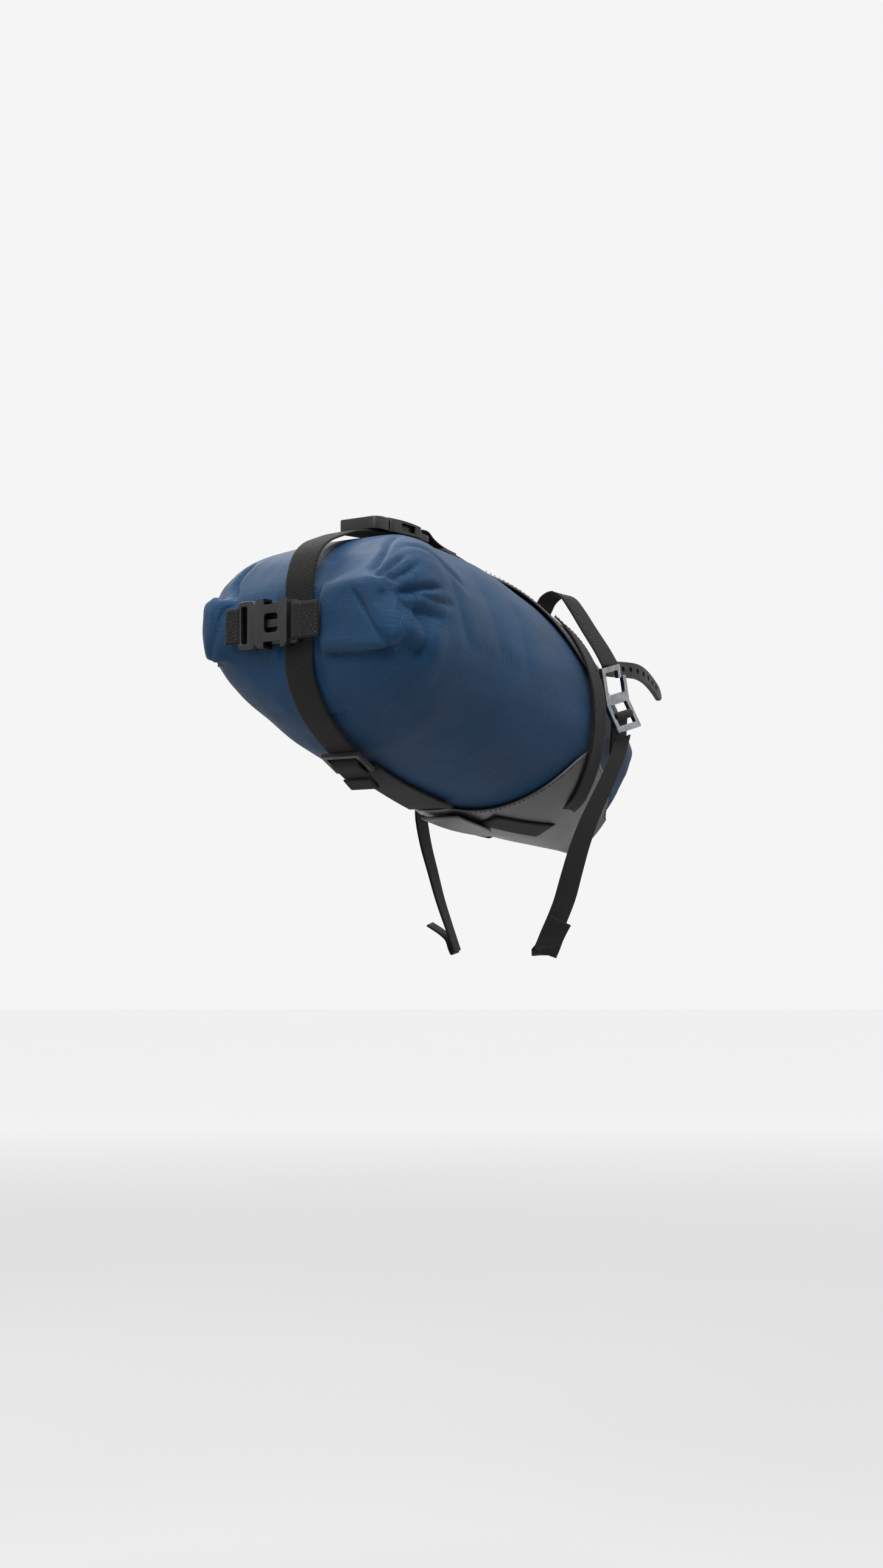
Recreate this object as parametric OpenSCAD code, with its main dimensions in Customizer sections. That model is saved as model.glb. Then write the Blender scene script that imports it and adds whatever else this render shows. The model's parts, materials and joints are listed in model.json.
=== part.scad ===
// Bicycle saddle pack: a roll-top dry bag in a strap holster, hung from the saddle rails.
// +X points forward to the seatpost, +Y to the rider's left, +Z up.
// The origin is midway between the two saddle rails, where the rail straps hold the pack up.

/* [Bag] */
// Width of the filled bag at its widest, behind the saddle
bag_w = 190; // [182:1:198]
// Width of the rolled top from fold to fold
roll_w = 204; // [198:1:214]
// Height of the rolled top
roll_h = 50; // [46:1:54]
// Thickness of one layer of the roll
roll_t = 9; // [8:0.5:9.5]

/* [Webbing and sheet] */
// Width of the compression and closure webbing
wide_web = 25; // [23:1:26]
// Width of the rail, flank and bottom webbing
narrow_web = 20; // [18:1:21]
// Thickness of the webbing
web_t = 1.5; // [1.2:0.1:1.6]
// Thickness of the holster's laminate sheet
sheet_t = 1.6; // [1.2:0.1:1.8]

/* [Hardware] */
// Width of the side-release buckles
buckle_w = 34; // [32:1:36]
// Thickness of the side-release buckles
buckle_t = 9; // [8:0.5:9]
// Width of the steel hook buckles
hook_w = 30; // [28:1:31]
// Radius of the steel hook's ladder bar
bar_r = 1.4; // [1.1:0.1:1.4]
// Distance of each saddle rail from the bicycle's centre plane
rail_y = 32; // [30:1:34]

/* [Hidden] */
$fn = 32;

blue = [0.16, 0.31, 0.49];
webbing_black = [0.09, 0.09, 0.09];
sheet_black = [0.2, 0.19, 0.19];
plastic_black = [0.12, 0.12, 0.12];
steel = [0.75, 0.76, 0.78];

// Cross-sections of the bag, from its mouth to its nose:
// [x, bottom z, z of the widest place, top z, half width, squareness below, squareness above]
wide = bag_w / 190;
stations = [
    [-248,  -86,  -42,   6, 94 * wide, 2.4, 3.6],
    [-230, -108,  -46,  18, 94 * wide, 2.4, 3.4],
    [-204, -127,  -52,  26, 91 * wide, 2.3, 2.7],
    [-164, -144,  -60,  28, 88 * wide, 2.1, 2.3],
    [-114, -158,  -68,  24, 87 * wide, 2.1, 2.1],
    [ -64, -168,  -76,  10, 84 * wide, 2.1, 2.0],
    [ -19, -175,  -83,  -8, 78 * wide, 2.0, 2.0],
    [  16, -179,  -90, -28, 70 * wide, 1.8, 2.0],
    [  46, -182, -100, -46, 61 * wide, 1.5, 1.8],
    [  62, -184, -110, -56, 53 * wide, 1.5, 1.6]];
mouth_x = stations[0][0];
nose_x = stations[len(stations) - 1][0];

// The roll is one band folded back on itself at both sides, with a gap for the rear strap
roll_gap = 2;
roll_mid = mouth_x - 0.5 - roll_t - roll_gap / 2;
roll_z = -40;
near_fold = -21;
far_fold = 64;

// Straight stretch under the top buckle
buckle_x = -181;
buckle_z = 31.2;

// Steel hook: where it bends, on the right flank, and its lean forward from the vertical
hook_at = [10, -77, -78];
hook_lean = -14;
hook_bend = 20;
bar_drop = 10;

// ---- surface of the bag ----

function spline(a, b, c, d, t) = 0.5 * (2 * b + (c - a) * t + (2 * a - 5 * b + 4 * c - d) * t * t
                                        + (3 * b - a - 3 * c + d) * t * t * t);
function span_at(x, i = 0) = i >= len(stations) - 2 || x < stations[i + 1][0] ? i : span_at(x, i + 1);
function section(x) =
    let (i = span_at(x), t = (x - stations[i][0]) / (stations[i + 1][0] - stations[i][0]))
    spline(stations[max(i - 1, 0)], stations[i], stations[i + 1],
           stations[min(i + 2, len(stations) - 1)], t);
function signed_pow(v, e) = sign(v) * pow(abs(v), e);

// Point of the surface at x and at the angle a round the bag: 0 is left, 90 the top, 180 right
function skin(x, a) =
    let (s = section(x), upper = sin(a) >= 0, n = upper ? s[6] : s[5],
         h = upper ? s[3] - s[2] : s[2] - s[1])
    [x, s[4] * signed_pow(cos(a), 2 / n), s[2] + h * signed_pow(sin(a), 2 / n)];
function unit(v) = v / norm(v);
function outward(x, a) = unit(cross(skin(x, a + 1) - skin(x, a - 1), skin(x + 1, a) - skin(x - 1, a)));
function over(x, a, d) = skin(x, a) + d * outward(x, a);
function along(x, a) = unit(skin(x + 1, a) - skin(x - 1, a));

// ---- sheets and bands ----

// Closed solid between two grids of points: rows run along, columns run across
function grid_faces(rows, cols, base, flip) =
    [for (i = [0:rows - 2], j = [0:cols - 2])
        let (a = base + i * cols + j, b = a + 1, c = a + cols + 1, d = a + cols)
        each (flip ? [[a, c, b], [a, d, c]] : [[a, b, c], [a, c, d]])];
function rim_faces(loop, shift) =
    [for (k = [0:len(loop) - 1])
        let (a = loop[k], b = loop[(k + 1) % len(loop)])
        each [[a, b + shift, b], [a, a + shift, b + shift]]];
module plate(outer, inner) {
    rows = len(outer);
    cols = len(outer[0]);
    count = rows * cols;
    loop = concat([for (j = [0:cols - 1]) j],
                  [for (i = [1:rows - 1]) i * cols + cols - 1],
                  [for (j = [1:cols - 1]) count - 1 - j],
                  [for (i = [1:rows - 2]) (rows - 1 - i) * cols]);
    points = concat([for (row = outer) each row], [for (row = inner) each row]);
    polyhedron(points, concat(grid_faces(rows, cols, 0, false),
                              grid_faces(rows, cols, count, true), rim_faces(loop, count)));
}

// Flat band along a route of points; side gives the direction of its width at each point
module band(route, side, w, t = web_t) {
    last = len(route) - 1;
    function run(i) = unit(route[min(i + 1, last)] - route[max(i - 1, 0)]);
    function face(i) = unit(cross(run(i), side[i]));
    plate([for (i = [0:last]) [route[i] - side[i] * w / 2 + face(i) * t / 2,
                               route[i] + side[i] * w / 2 + face(i) * t / 2]],
          [for (i = [0:last]) [route[i] - side[i] * w / 2 - face(i) * t / 2,
                               route[i] + side[i] * w / 2 - face(i) * t / 2]]);
}
function same(v, route) = [for (p = route) v];
function blend_dir(a, b, n) = [for (i = [0:n - 1]) unit(a + (b - a) * i / (n - 1))];

// Smooth route through a few hand-set points, with k steps in each gap
function smooth_route(p, k = 4) =
    concat([for (i = [0:len(p) - 2], j = [0:k - 1])
               spline(p[max(i - 1, 0)], p[i], p[i + 1], p[min(i + 2, len(p) - 1)], j / k)],
           [p[len(p) - 1]]);

module left() {
    mirror([0, 1, 0]) children();
}

// ---- dry bag ----

module dry_bag() {
    ring_n = 40;
    xs = [for (i = [0:len(stations) - 2], k = [0:2])
              stations[i][0] + (stations[i + 1][0] - stations[i][0]) * k / 3, nose_x];
    rings = [for (x = xs) [for (j = [0:ring_n - 1]) skin(x, 360 * j / ring_n)]];
    last = len(xs) - 1;
    sides = [for (i = [0:last - 1], j = [0:ring_n - 1])
                let (a = i * ring_n + j, b = i * ring_n + (j + 1) % ring_n)
                each [[a, b + ring_n, b], [a, a + ring_n, b + ring_n]]];
    color(blue)
    polyhedron([for (r = rings) each r],
               concat(sides, [[for (j = [0:ring_n - 1]) j]],
                      [[for (j = [0:ring_n - 1]) last * ring_n + ring_n - 1 - j]]));
}

module nose_outline(scale_by) {
    polygon([for (j = [0:35])
                 let (p = skin(nose_x, 10 * j), mid = -110)
                 [p[1] * scale_by, mid + (p[2] - mid) * scale_by]]);
}
module nose_plate(x, t, scale_by) {
    translate([x, 0, 0]) rotate([90, 0, 90]) linear_extrude(t) nose_outline(scale_by);
}
board_t = 1.6;
panel_t = 3;
module base_board() {
    color("dimgray") nose_plate(nose_x + 0.1, board_t, 0.85);
}
module base_panel() {
    color(blue)
    difference() {
        nose_plate(nose_x, panel_t, 0.98);
        nose_plate(nose_x - 1, board_t + 1.2, 0.87);
    }
}

module roll_outline() {
    edge_y = roll_w / 2 - roll_t - roll_gap / 2;
    inner_x = roll_mid + roll_gap / 2;
    outer_x = roll_mid - roll_gap / 2 - roll_t;
    translate([inner_x, -edge_y]) square([roll_t, 2 * edge_y]);
    translate([outer_x, -edge_y]) square([roll_t, edge_y + near_fold]);
    translate([outer_x, far_fold]) square([roll_t, edge_y - far_fold]);
    for (s = [-1, 1])
        translate([roll_mid, s * edge_y])
        intersection() {
            difference() {
                circle(roll_t + roll_gap / 2);
                circle(roll_gap / 2, $fn = 16);
            }
            translate([-20, s > 0 ? 0 : -40]) square(40);
        }
}
stiffener_h = 36;
module roll_top() {
    color(blue)
    difference() {
        translate([0, 0, roll_z - roll_h / 2]) linear_extrude(roll_h) roll_outline();
        translate([roll_mid + roll_gap / 2 + roll_t / 2 - 0.7, -81, roll_z - roll_h / 2 - 1])
            cube([1.4, 162, stiffener_h + 3]);
    }
}
module roll_stiffener() {
    color("dimgray")
    translate([roll_mid + roll_gap / 2 + roll_t / 2 - 0.4, -80, roll_z - roll_h / 2 + 1])
        cube([0.8, 160, stiffener_h]);
}

// ---- side-release buckle, in its own frame: the clip enters along +X from x = 0 ----

wall = 1.6;
arm_len = 26;
module socket() {
    w = buckle_w;
    color(plastic_black)
    difference() {
        union() {
            translate([0, -w / 2, 0]) cube([36, w, buckle_t]);
            translate([36, -w / 2, 0]) cube([12, w, 5]);
        }
        translate([-1, -w / 2 + 2.2, wall]) cube([32, w - 4.4, buckle_t - 2 * wall]);
        for (s = [-1, 1])
            translate([12, s * w / 2 - 4, wall]) cube([15, 8, buckle_t - 2 * wall]);
        translate([38, -w / 2 + 3.5, -1]) cube([7, w - 7, 7]);
    }
}
module clip() {
    w = buckle_w;
    color(plastic_black) {
        difference() {
            translate([-30, -w / 2, 0]) cube([29.7, w, buckle_t]);
            translate([-27, -w / 2 + 3.5, -1]) cube([8, w - 7, buckle_t + 2]);
            translate([-16, -w / 2 + 3.5, -1]) cube([8, w - 7, buckle_t + 2]);
        }
        translate([-1, -3, wall + 0.5]) cube([24, 6, buckle_t - 2 * wall - 1]);
    }
}
module arm(side) {
    color(plastic_black)
    scale([1, side, 1]) {
        translate([0, 9.4, wall + 0.4]) cube([arm_len, 3, buckle_t - 2 * wall - 0.8]);
        translate([14, 12.4, wall + 0.4])
            cube([arm_len - 14, buckle_w / 2 - 2.2 - 0.4 - 12.4, buckle_t - 2 * wall - 0.8]);
    }
}

module at_top_buckle() {
    translate([buckle_x, 0, buckle_z]) children();
}
module top_socket() {
    at_top_buckle() socket();
}
module top_clip() {
    at_top_buckle() clip();
}
module top_arm_right() {
    at_top_buckle() arm(-1);
}
module top_arm_left() {
    at_top_buckle() arm(1);
}

// The closure buckle lies across the roll, its clip entering from the left
closure_y = 30;
closure_lift = 2;
module at_closure() {
    translate([roll_mid - roll_gap / 2 - closure_lift, closure_y, roll_z])
        rotate([0, 0, -90]) rotate([90, 0, 0]) children();
}
module closure_socket() {
    at_closure() difference() {
        socket();
        translate([36, -buckle_w, -1]) cube([20, 2 * buckle_w, 12]);
    }
}
module closure_clip() {
    at_closure() difference() {
        clip();
        translate([-40, -buckle_w, -1]) cube([24, 2 * buckle_w, 12]);
    }
}
module closure_arm_upper() {
    at_closure() arm(1);
}
module closure_arm_lower() {
    at_closure() arm(-1);
}

outer_face = roll_mid - roll_gap / 2 - roll_t;
module closure_strap_near() {
    color(webbing_black)
    translate([outer_face - 0.2 - web_t, -46, roll_z - wide_web / 2]) cube([web_t, 39.5, wide_web]);
}
module closure_strap_far() {
    color(webbing_black)
    translate([outer_face - 0.4 - web_t, 46.5, roll_z - wide_web / 2]) cube([web_t, 24, wide_web]);
}

// ---- holster sheets ----

sheet_gap = 0.8;
// Half of the angle that the cradle covers, at each of its stations along x
cradle_reach = [[-112, 8], [-98, 13], [-84, 23], [-72, 35], [-60, 46], [-48, 56], [-36, 64], [-24, 69],
                [-10, 68], [4, 64], [18, 60], [32, 56], [46, 50], [60, 42]];
// The same for the yoke, which starts as a narrow tab and widens into two wings
yoke_reach = [[-122, 11], [-104, 11], [-88, 12], [-76, 16], [-66, 26], [-56, 38], [-46, 52], [-36, 64],
              [-26, 71], [-14, 72], [-2, 68], [10, 58], [20, 46], [28, 34]];
function sheet_grid(reach, mid, d, cols) =
    [for (r = reach) [for (j = [0:cols - 1]) over(r[0], mid + r[1] - 2 * r[1] * j / (cols - 1), d)]];
module cradle() {
    color(sheet_black)
    plate(sheet_grid(cradle_reach, 270, sheet_gap + sheet_t, 17),
          sheet_grid(cradle_reach, 270, sheet_gap, 17));
}
module yoke() {
    color(sheet_black)
    plate(sheet_grid(yoke_reach, 90, sheet_gap + sheet_t, 15),
          sheet_grid(yoke_reach, 90, sheet_gap, 15));
}

// Strip on the bag's centre line, below (sign -1) or above it; widths are half widths
function centre_row(x, half, d, cols) =
    [for (j = [0:cols - 1])
        let (s = section(x), y = half * (1 - 2 * j / (cols - 1)))
        [x, y, s[2] - (s[2] - s[1]) * pow(1 - pow(abs(y) / s[4], s[5]), 1 / s[5]) - d]];
module underside_strip(ends, d, t) {
    plate([for (e = ends) centre_row(e[0], e[1], d + t, 5)],
          [for (e = ends) centre_row(e[0], e[1], d, 5)]);
}
module tongue() {
    color(sheet_black)
    underside_strip([for (i = [0:8]) [-192 + 9.7 * i, 13 + 0.9 * i]], 0.8, sheet_t);
}
module tongue_end() {
    color(sheet_black)
    underside_strip([[-104, 17], [-92, 17], [-80, 17], [-68, 16], [-58, 12], [-46, 3]], 5, sheet_t);
}

// ---- straps ----

// Rear compression strap: from the tri-glide, up behind the bag, to the top buckle
rear_route = [[-196, 0, -134.5], [-216, 0, -123], [-230, 0, -113], [-243, 0, -101], [-253, 0, -86],
              [-258.2, 0, -72], [-258.5, 0, -56], [-258.5, 0, -20], [-257, 0, -6], [-251, 0, 8],
              [-241, 0, 17], [-227, 0, 22.8], [-212, 0, 27.6], [-196, 0, 29.7], [-166, 0, 30.2]];
module rear_strap() {
    color(webbing_black)
    band(smooth_route(rear_route, 3), same([0, 1, 0], smooth_route(rear_route, 3)), wide_web);
}
glide_at = [-206, 0, -129.7];
glide_tilt = 30;
module at_glide() {
    translate(glide_at) rotate([0, glide_tilt, 0]) children();
}
module tri_glide() {
    color(plastic_black)
    at_glide() difference() {
        translate([-10, -16.5, -4.4]) cube([20, 33, 3.2]);
        translate([-7, -13.2, -6]) cube([5, 26.4, 6]);
        translate([2, -13.2, -6]) cube([5, 26.4, 6]);
    }
}
module rear_strap_fold() {
    color(webbing_black)
    at_glide() translate([3, -wide_web / 2, -6.2]) cube([19, wide_web, web_t]);
}
module top_strap() {
    route = smooth_route([[-138.5, 0, 37.9], [-132, 0, 37.2], [-125, 0, 32.5], [-114, 0, 28.4], [-100, 0, 25.6]], 3);
    color(webbing_black) band(route, same([0, 1, 0], route), wide_web - 1);
}

// Saddle rail strap: from the yoke, over the rail and down to the steel hook
rail_route = [[-6, -18, -10.8], [-5, -21.5, -4.5], [-3.5, -25, 2], [-2, -rail_y, 5.6], [0, -40, 2.5],
              [2, -47, -7], [4.5, -56, -22], [7, -66, -38], [8, -73.4, -51]];
module rail_strap() {
    route = smooth_route(rail_route, 3);
    color(webbing_black) band(route, blend_dir([1, 0, -0.25], [1, 0, 0.25], len(route)), narrow_web);
}
module rail_strap_right() {
    rail_strap();
}
module rail_strap_left() {
    left() rail_strap();
}

// Flank strap: from the yoke round the side to the cradle
module flank_strap() {
    path = [for (i = [0:24]) [-28 + 0.7 * i, 128 + 4.4 * i]];
    color(webbing_black)
    band([for (p = path) over(p[0], p[1], sheet_gap + sheet_t + 1.2)],
         [for (p = path) along(p[0], p[1])], narrow_web);
}
module flank_strap_right() {
    flank_strap();
}
module flank_strap_left() {
    left() flank_strap();
}

// Bottom strap: from a slot in the cradle to under the tongue's end
module bottom_strap() {
    path = [for (i = [0:10]) [-10 - 6.5 * i, 248 + 0.9 * i]];
    color(webbing_black)
    band([for (p = path) over(p[0], p[1], sheet_gap + sheet_t + 1)],
         [for (p = path) unit(over(p[0], p[1] + 1, 0) - over(p[0], p[1] - 1, 0))], 18);
}
module bottom_strap_right() {
    bottom_strap();
}
module bottom_strap_left() {
    left() bottom_strap();
}

// ---- steel hook, in its own frame: x across, z up, bent outwards below z = 0 ----

module at_hook() {
    translate(hook_at) rotate([0, hook_lean, 0]) children();
}
module below_bend() {
    rotate([-hook_bend, 0, 0]) children();
}
steel_t = 3;
upper_h = 28;
lower_h = 22;
arm_w = 4;
mouth = 2;
module hook_plate() {
    run = [-sin(hook_bend), -cos(hook_bend)];
    face = [cos(hook_bend), -sin(hook_bend)] * steel_t / 2;
    mitre = [1, -tan(hook_bend / 2)] * steel_t / 2;
    translate([-hook_w / 2, 0, 0]) rotate([90, 0, 90]) linear_extrude(hook_w)
        polygon([[-steel_t / 2, upper_h], -mitre, run * lower_h - face, run * lower_h + face,
                 mitre, [steel_t / 2, upper_h]]);
}
module window(x0, x1, z0, z1) {
    translate([x0, -3 * steel_t, z0]) cube([x1 - x0, 6 * steel_t, z1 - z0]);
}
module hook() {
    edge = hook_w / 2 - arm_w;
    sill = 7;
    finger = 4;
    color(steel)
    at_hook() {
        difference() {
            hook_plate();
            window(-edge, edge - mouth - finger, sill, upper_h - arm_w);
            window(edge - mouth - finger - 0.1, edge - mouth, sill, upper_h - 10);
            window(edge - mouth - 0.1, edge, sill, upper_h + 1);
            window(edge - 0.1, edge + arm_w + 1, upper_h - 9, upper_h + 1);
            below_bend() window(-edge, edge, -lower_h + 4.5, -0.6);
        }
        below_bend() translate([-edge - 0.6, 0, -bar_drop]) rotate([0, 90, 0])
            cylinder(r = bar_r, h = 2 * edge + 1.2);
    }
}
module hook_right() {
    hook();
}
module hook_left() {
    left() hook();
}

// Webbing on the ladder bar: a loop round it and a leg down to the cradle
loop_w = hook_w - 2 * arm_w - 1.6;
leg_len = 34;
leg_slope = 13;
module anchor_strap() {
    inner = bar_r + 0.3;
    color(webbing_black)
    at_hook() below_bend() translate([-loop_w / 2, 0, -bar_drop]) rotate([hook_bend, 0, 0]) {
        rotate([0, 90, 0]) difference() {
            cylinder(r = inner + web_t, h = loop_w);
            translate([0, 0, -1]) cylinder(r = inner, h = loop_w + 2);
        }
        rotate([leg_slope, 0, 0]) translate([0, inner, -leg_len]) cube([loop_w, web_t, leg_len]);
    }
}
module anchor_strap_right() {
    anchor_strap();
}
module anchor_strap_left() {
    left() anchor_strap();
}

// Hanging tails: free ends of the hook webbing
tail_right_route = [[13, -80.5, -103], [8, -81.5, -110], [0, -83, -121], [-10, -83, -135],
                    [-20, -81.5, -150], [-29, -79, -166], [-36, -75, -186], [-39, -70, -206],
                    [-41, -64.5, -226], [-48, -59.5, -246]];
tail_left_route = [[13, 80.5, -103], [8, 82.5, -110], [0, 86, -121], [-11, 87, -135], [-19, 85, -154],
                   [-20, 80, -178], [-18, 74.5, -200], [-15, 69.5, -222], [-9, 65, -244]];
tail_twist = 0.42;
module tail(route, twist) {
    points = smooth_route(route, 2);
    color(webbing_black) band(points, blend_dir([1, 0, 0.25], [1, twist, 0.1], len(points)), narrow_web);
}
module tail_right() {
    tail(tail_right_route, -tail_twist);
}
module tail_left() {
    tail(tail_left_route, tail_twist);
}
module tail_fold(route, twist) {
    end = route[len(route) - 1];
    run = unit(end - route[len(route) - 2]);
    points = [for (i = [0:3]) end + run * (0.2 + 6 * i)];
    color(webbing_black) band(points, same(unit([1, twist, 0.1]), points), narrow_web + 1, 2 * web_t);
}
module tail_fold_right() {
    tail_fold(tail_right_route, -tail_twist);
}
module tail_fold_left() {
    tail_fold(tail_left_route, tail_twist);
}

// ---- perforated rubber strap for the seatpost ----

strap_h = 12.5;
rubber_t = 3;
hole_r = 2.3;
// One point for each pitch of the holes, from the anchor under the rail strap to the tip
post_route = [[7, -67.6, -51.5], [15, -66.3, -51.2], [26, -64.6, -50.5], [37.3, -63.2, -49.7],
              [48.7, -62.5, -49.1], [60, -61.2, -49], [71.2, -59, -50.1], [82, -56.2, -52.1],
              [92.5, -53, -54.6], [102.7, -49.6, -57.4], [112, -46.4, -60.2], [119, -44, -62.4]];
post_side = unit([0.05, 0.15, 1]);
post_end = len(post_route) - 1;
module post_band(last) {
    points = smooth_route([for (i = [0:last]) post_route[i]], 2);
    band(points, same(post_side, points), strap_h, rubber_t);
}
module post_strap() {
    tip = post_route[post_end];
    color([0.1, 0.1, 0.1])
    difference() {
        post_band(post_end);
        for (i = [2:post_end - 2]) {
            across = unit(cross(post_route[i + 1] - post_route[i - 1], post_side));
            translate(post_route[i]) rotate([0, acos(across[2]), atan2(across[1], across[0])])
                cylinder(r = hole_r, h = 4 * rubber_t, center = true, $fn = 14);
        }
        for (s = [-1, 1])
            translate(tip + 0.55 * strap_h * s * post_side) rotate([0, s * 30, 0])
                cube([16, 20, 0.5 * strap_h], center = true);
    }
}
module post_strap_loop() {
    color([0.1, 0.1, 0.1]) left() post_band(4);
}
module post_strap_stud() {
    at = post_route[3];
    color(steel)
    translate([at[0] + 3, -at[1] - 0.2, at[2] + 0.1]) rotate([-82, 0, 0]) translate([0, 0, rubber_t / 2 + 0.1]) {
        cylinder(r = 1.9, h = 4);
        translate([0, 0, 4]) cylinder(r = 3.6, h = 1.6);
    }
}

dry_bag();
base_board();
base_panel();
roll_top();
roll_stiffener();
closure_strap_near();
closure_strap_far();
closure_socket();
closure_clip();
closure_arm_upper();
closure_arm_lower();
cradle();
yoke();
tongue();
tongue_end();
rear_strap();
rear_strap_fold();
tri_glide();
top_socket();
top_clip();
top_arm_right();
top_arm_left();
top_strap();
rail_strap_right();
rail_strap_left();
flank_strap_right();
flank_strap_left();
bottom_strap_right();
bottom_strap_left();
anchor_strap_right();
anchor_strap_left();
hook_right();
hook_left();
tail_right();
tail_left();
tail_fold_right();
tail_fold_left();
post_strap();
post_strap_loop();
post_strap_stud();
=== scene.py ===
import json
import math
from contextlib import contextmanager

import bmesh
import bpy
import numpy as np
from mathutils import Matrix, Vector, noise


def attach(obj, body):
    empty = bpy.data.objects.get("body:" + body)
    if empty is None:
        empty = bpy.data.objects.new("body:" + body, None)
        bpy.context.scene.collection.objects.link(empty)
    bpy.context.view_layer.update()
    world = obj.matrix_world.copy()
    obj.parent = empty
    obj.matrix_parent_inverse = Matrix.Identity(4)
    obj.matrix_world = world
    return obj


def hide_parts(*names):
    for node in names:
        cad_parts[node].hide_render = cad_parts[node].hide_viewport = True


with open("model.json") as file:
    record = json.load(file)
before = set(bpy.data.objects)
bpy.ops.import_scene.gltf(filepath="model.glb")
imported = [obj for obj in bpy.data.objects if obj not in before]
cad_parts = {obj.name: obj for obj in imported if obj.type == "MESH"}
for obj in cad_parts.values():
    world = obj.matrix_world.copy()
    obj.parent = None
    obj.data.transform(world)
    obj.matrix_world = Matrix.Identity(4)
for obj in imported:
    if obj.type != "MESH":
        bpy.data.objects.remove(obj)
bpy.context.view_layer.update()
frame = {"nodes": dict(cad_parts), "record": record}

MM = 0.001
ROOT = "holster"

# ---- measures shared with the CAD source, in millimetres ----

WIDE, NARROW, WEB = 25.0, 20.0, 1.5          # webbing widths and thickness
SHEET_GAP, SHEET = 0.8, 1.6                  # holster sheet above the bag, and its thickness
ROLL_MID, ROLL_Z = -258.5, -40.0             # middle of the rolled top, its x and its z
HANDS = ("right", "left")

# x, bottom z, z of the widest place, top z, half width, squareness below, squareness above
STATIONS = np.array([
    (-248, -86, -42, 6, 94, 2.4, 3.6), (-230, -108, -46, 18, 94, 2.4, 3.4),
    (-204, -127, -52, 26, 91, 2.3, 2.7), (-164, -144, -60, 28, 88, 2.1, 2.3),
    (-114, -158, -68, 24, 87, 2.1, 2.1), (-64, -168, -76, 10, 84, 2.1, 2.0),
    (-19, -175, -83, -8, 78, 2.0, 2.0), (16, -179, -90, -28, 70, 1.8, 2.0),
    (46, -182, -100, -46, 61, 1.5, 1.8), (62, -184, -110, -56, 53, 1.5, 1.6)], float)


def catmull(a, b, c, d, t):
    return 0.5 * (2 * b + (c - a) * t + (2 * a - 5 * b + 4 * c - d) * t * t
                  + (3 * b - a - 3 * c + d) * t * t * t)


def section(x, table=STATIONS):
    """Rows of the station table at the places x."""
    x = np.atleast_1d(np.asarray(x, float))
    last = len(table) - 1
    i = np.clip(np.searchsorted(table[:, 0], x, "right") - 1, 0, last - 1)
    t = ((x - table[i, 0]) / (table[i + 1, 0] - table[i, 0]))[:, None]
    return catmull(table[np.maximum(i - 1, 0)], table[i], table[i + 1],
                   table[np.minimum(i + 2, last)], t)


def signed_power(value, power):
    return math.copysign(abs(value) ** power, value)


def outline_point(row, x, angle):
    """Point of a station's cross-section at x and an angle in radians."""
    c, n = math.cos(angle), math.sin(angle)
    power, h = (row[6], row[3] - row[2]) if n >= 0 else (row[5], row[2] - row[1])
    return Vector((x, row[4] * signed_power(c, 2 / power), row[2] + h * signed_power(n, 2 / power)))


def skin(x, a):
    """Point of the bag's surface at x and angle a: 0 is left, 90 the top, 180 right, 270 below."""
    return outline_point(section(x)[0], x, math.radians(a))


def outward(x, a):
    """The way out of the bag at a place on its surface."""
    n = (skin(x, a + 1) - skin(x, a - 1)).cross(skin(x + 1, a) - skin(x - 1, a))
    n.normalize()
    middle = Vector((x, 0, section(x)[0][2]))
    return n if n.dot(skin(x, a) - middle) > 0 else -n


def over(x, a, lift):
    return skin(x, a) + outward(x, a) * float(lift)


def route_of(points, steps):
    """Smooth route through a few given points."""
    pts = [Vector(p) for p in points]
    last = len(pts) - 1
    out = []
    for i in range(last):
        for k in range(steps):
            out.append(Vector(catmull(*(np.array(pts[min(max(j, 0), last)])
                                        for j in (i - 1, i, i + 1, i + 2)), k / steps)))
    return out + [pts[last]]


# ---- camera, lights and floor, in metres ----

CAMERA_AT, CAMERA_TURN, CAMERA_LIFT = (-1.53458, -1.11908, -0.26807), -52, -4
FLOOR_Z, FLOOR_HALF = -0.85, 30

def camera():
    data = bpy.data.cameras.new("camera")
    data.sensor_fit = "VERTICAL"
    data.sensor_height = 36
    data.lens = 57.857
    data.clip_end = 30
    data.dof.use_dof = False
    cam = bpy.data.objects.new("camera", data)
    bpy.context.scene.collection.objects.link(cam)
    turn, lift = math.radians(CAMERA_TURN), math.radians(CAMERA_LIFT)
    level = math.cos(lift)
    ahead = Vector((-math.sin(turn) * level, math.cos(turn) * level, -math.sin(lift)))
    right = Vector((math.cos(turn), math.sin(turn), 0))
    up = right.cross(ahead)
    cam.matrix_world = Matrix.Translation(CAMERA_AT) @ Matrix((right, up, -ahead)).transposed().to_4x4()
    bpy.context.scene.camera = cam


def area_light(name, place, aim, size, power):
    data = bpy.data.lights.new(name, "AREA")
    data.shape, data.size, data.energy = "DISK", size, power
    light = bpy.data.objects.new(name, data)
    bpy.context.scene.collection.objects.link(light)
    light.location = place
    light.rotation_euler = (Vector(aim) - Vector(place)).to_track_quat("-Z", "Y").to_euler()


def linear(code):
    """Linear colour of an sRGB hex value."""
    parts = [int(code[i:i + 2], 16) / 255 for i in (1, 3, 5)]
    return tuple(p / 12.92 if p <= 0.04045 else ((p + 0.055) / 1.055) ** 2.4 for p in parts) + (1,)


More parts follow.
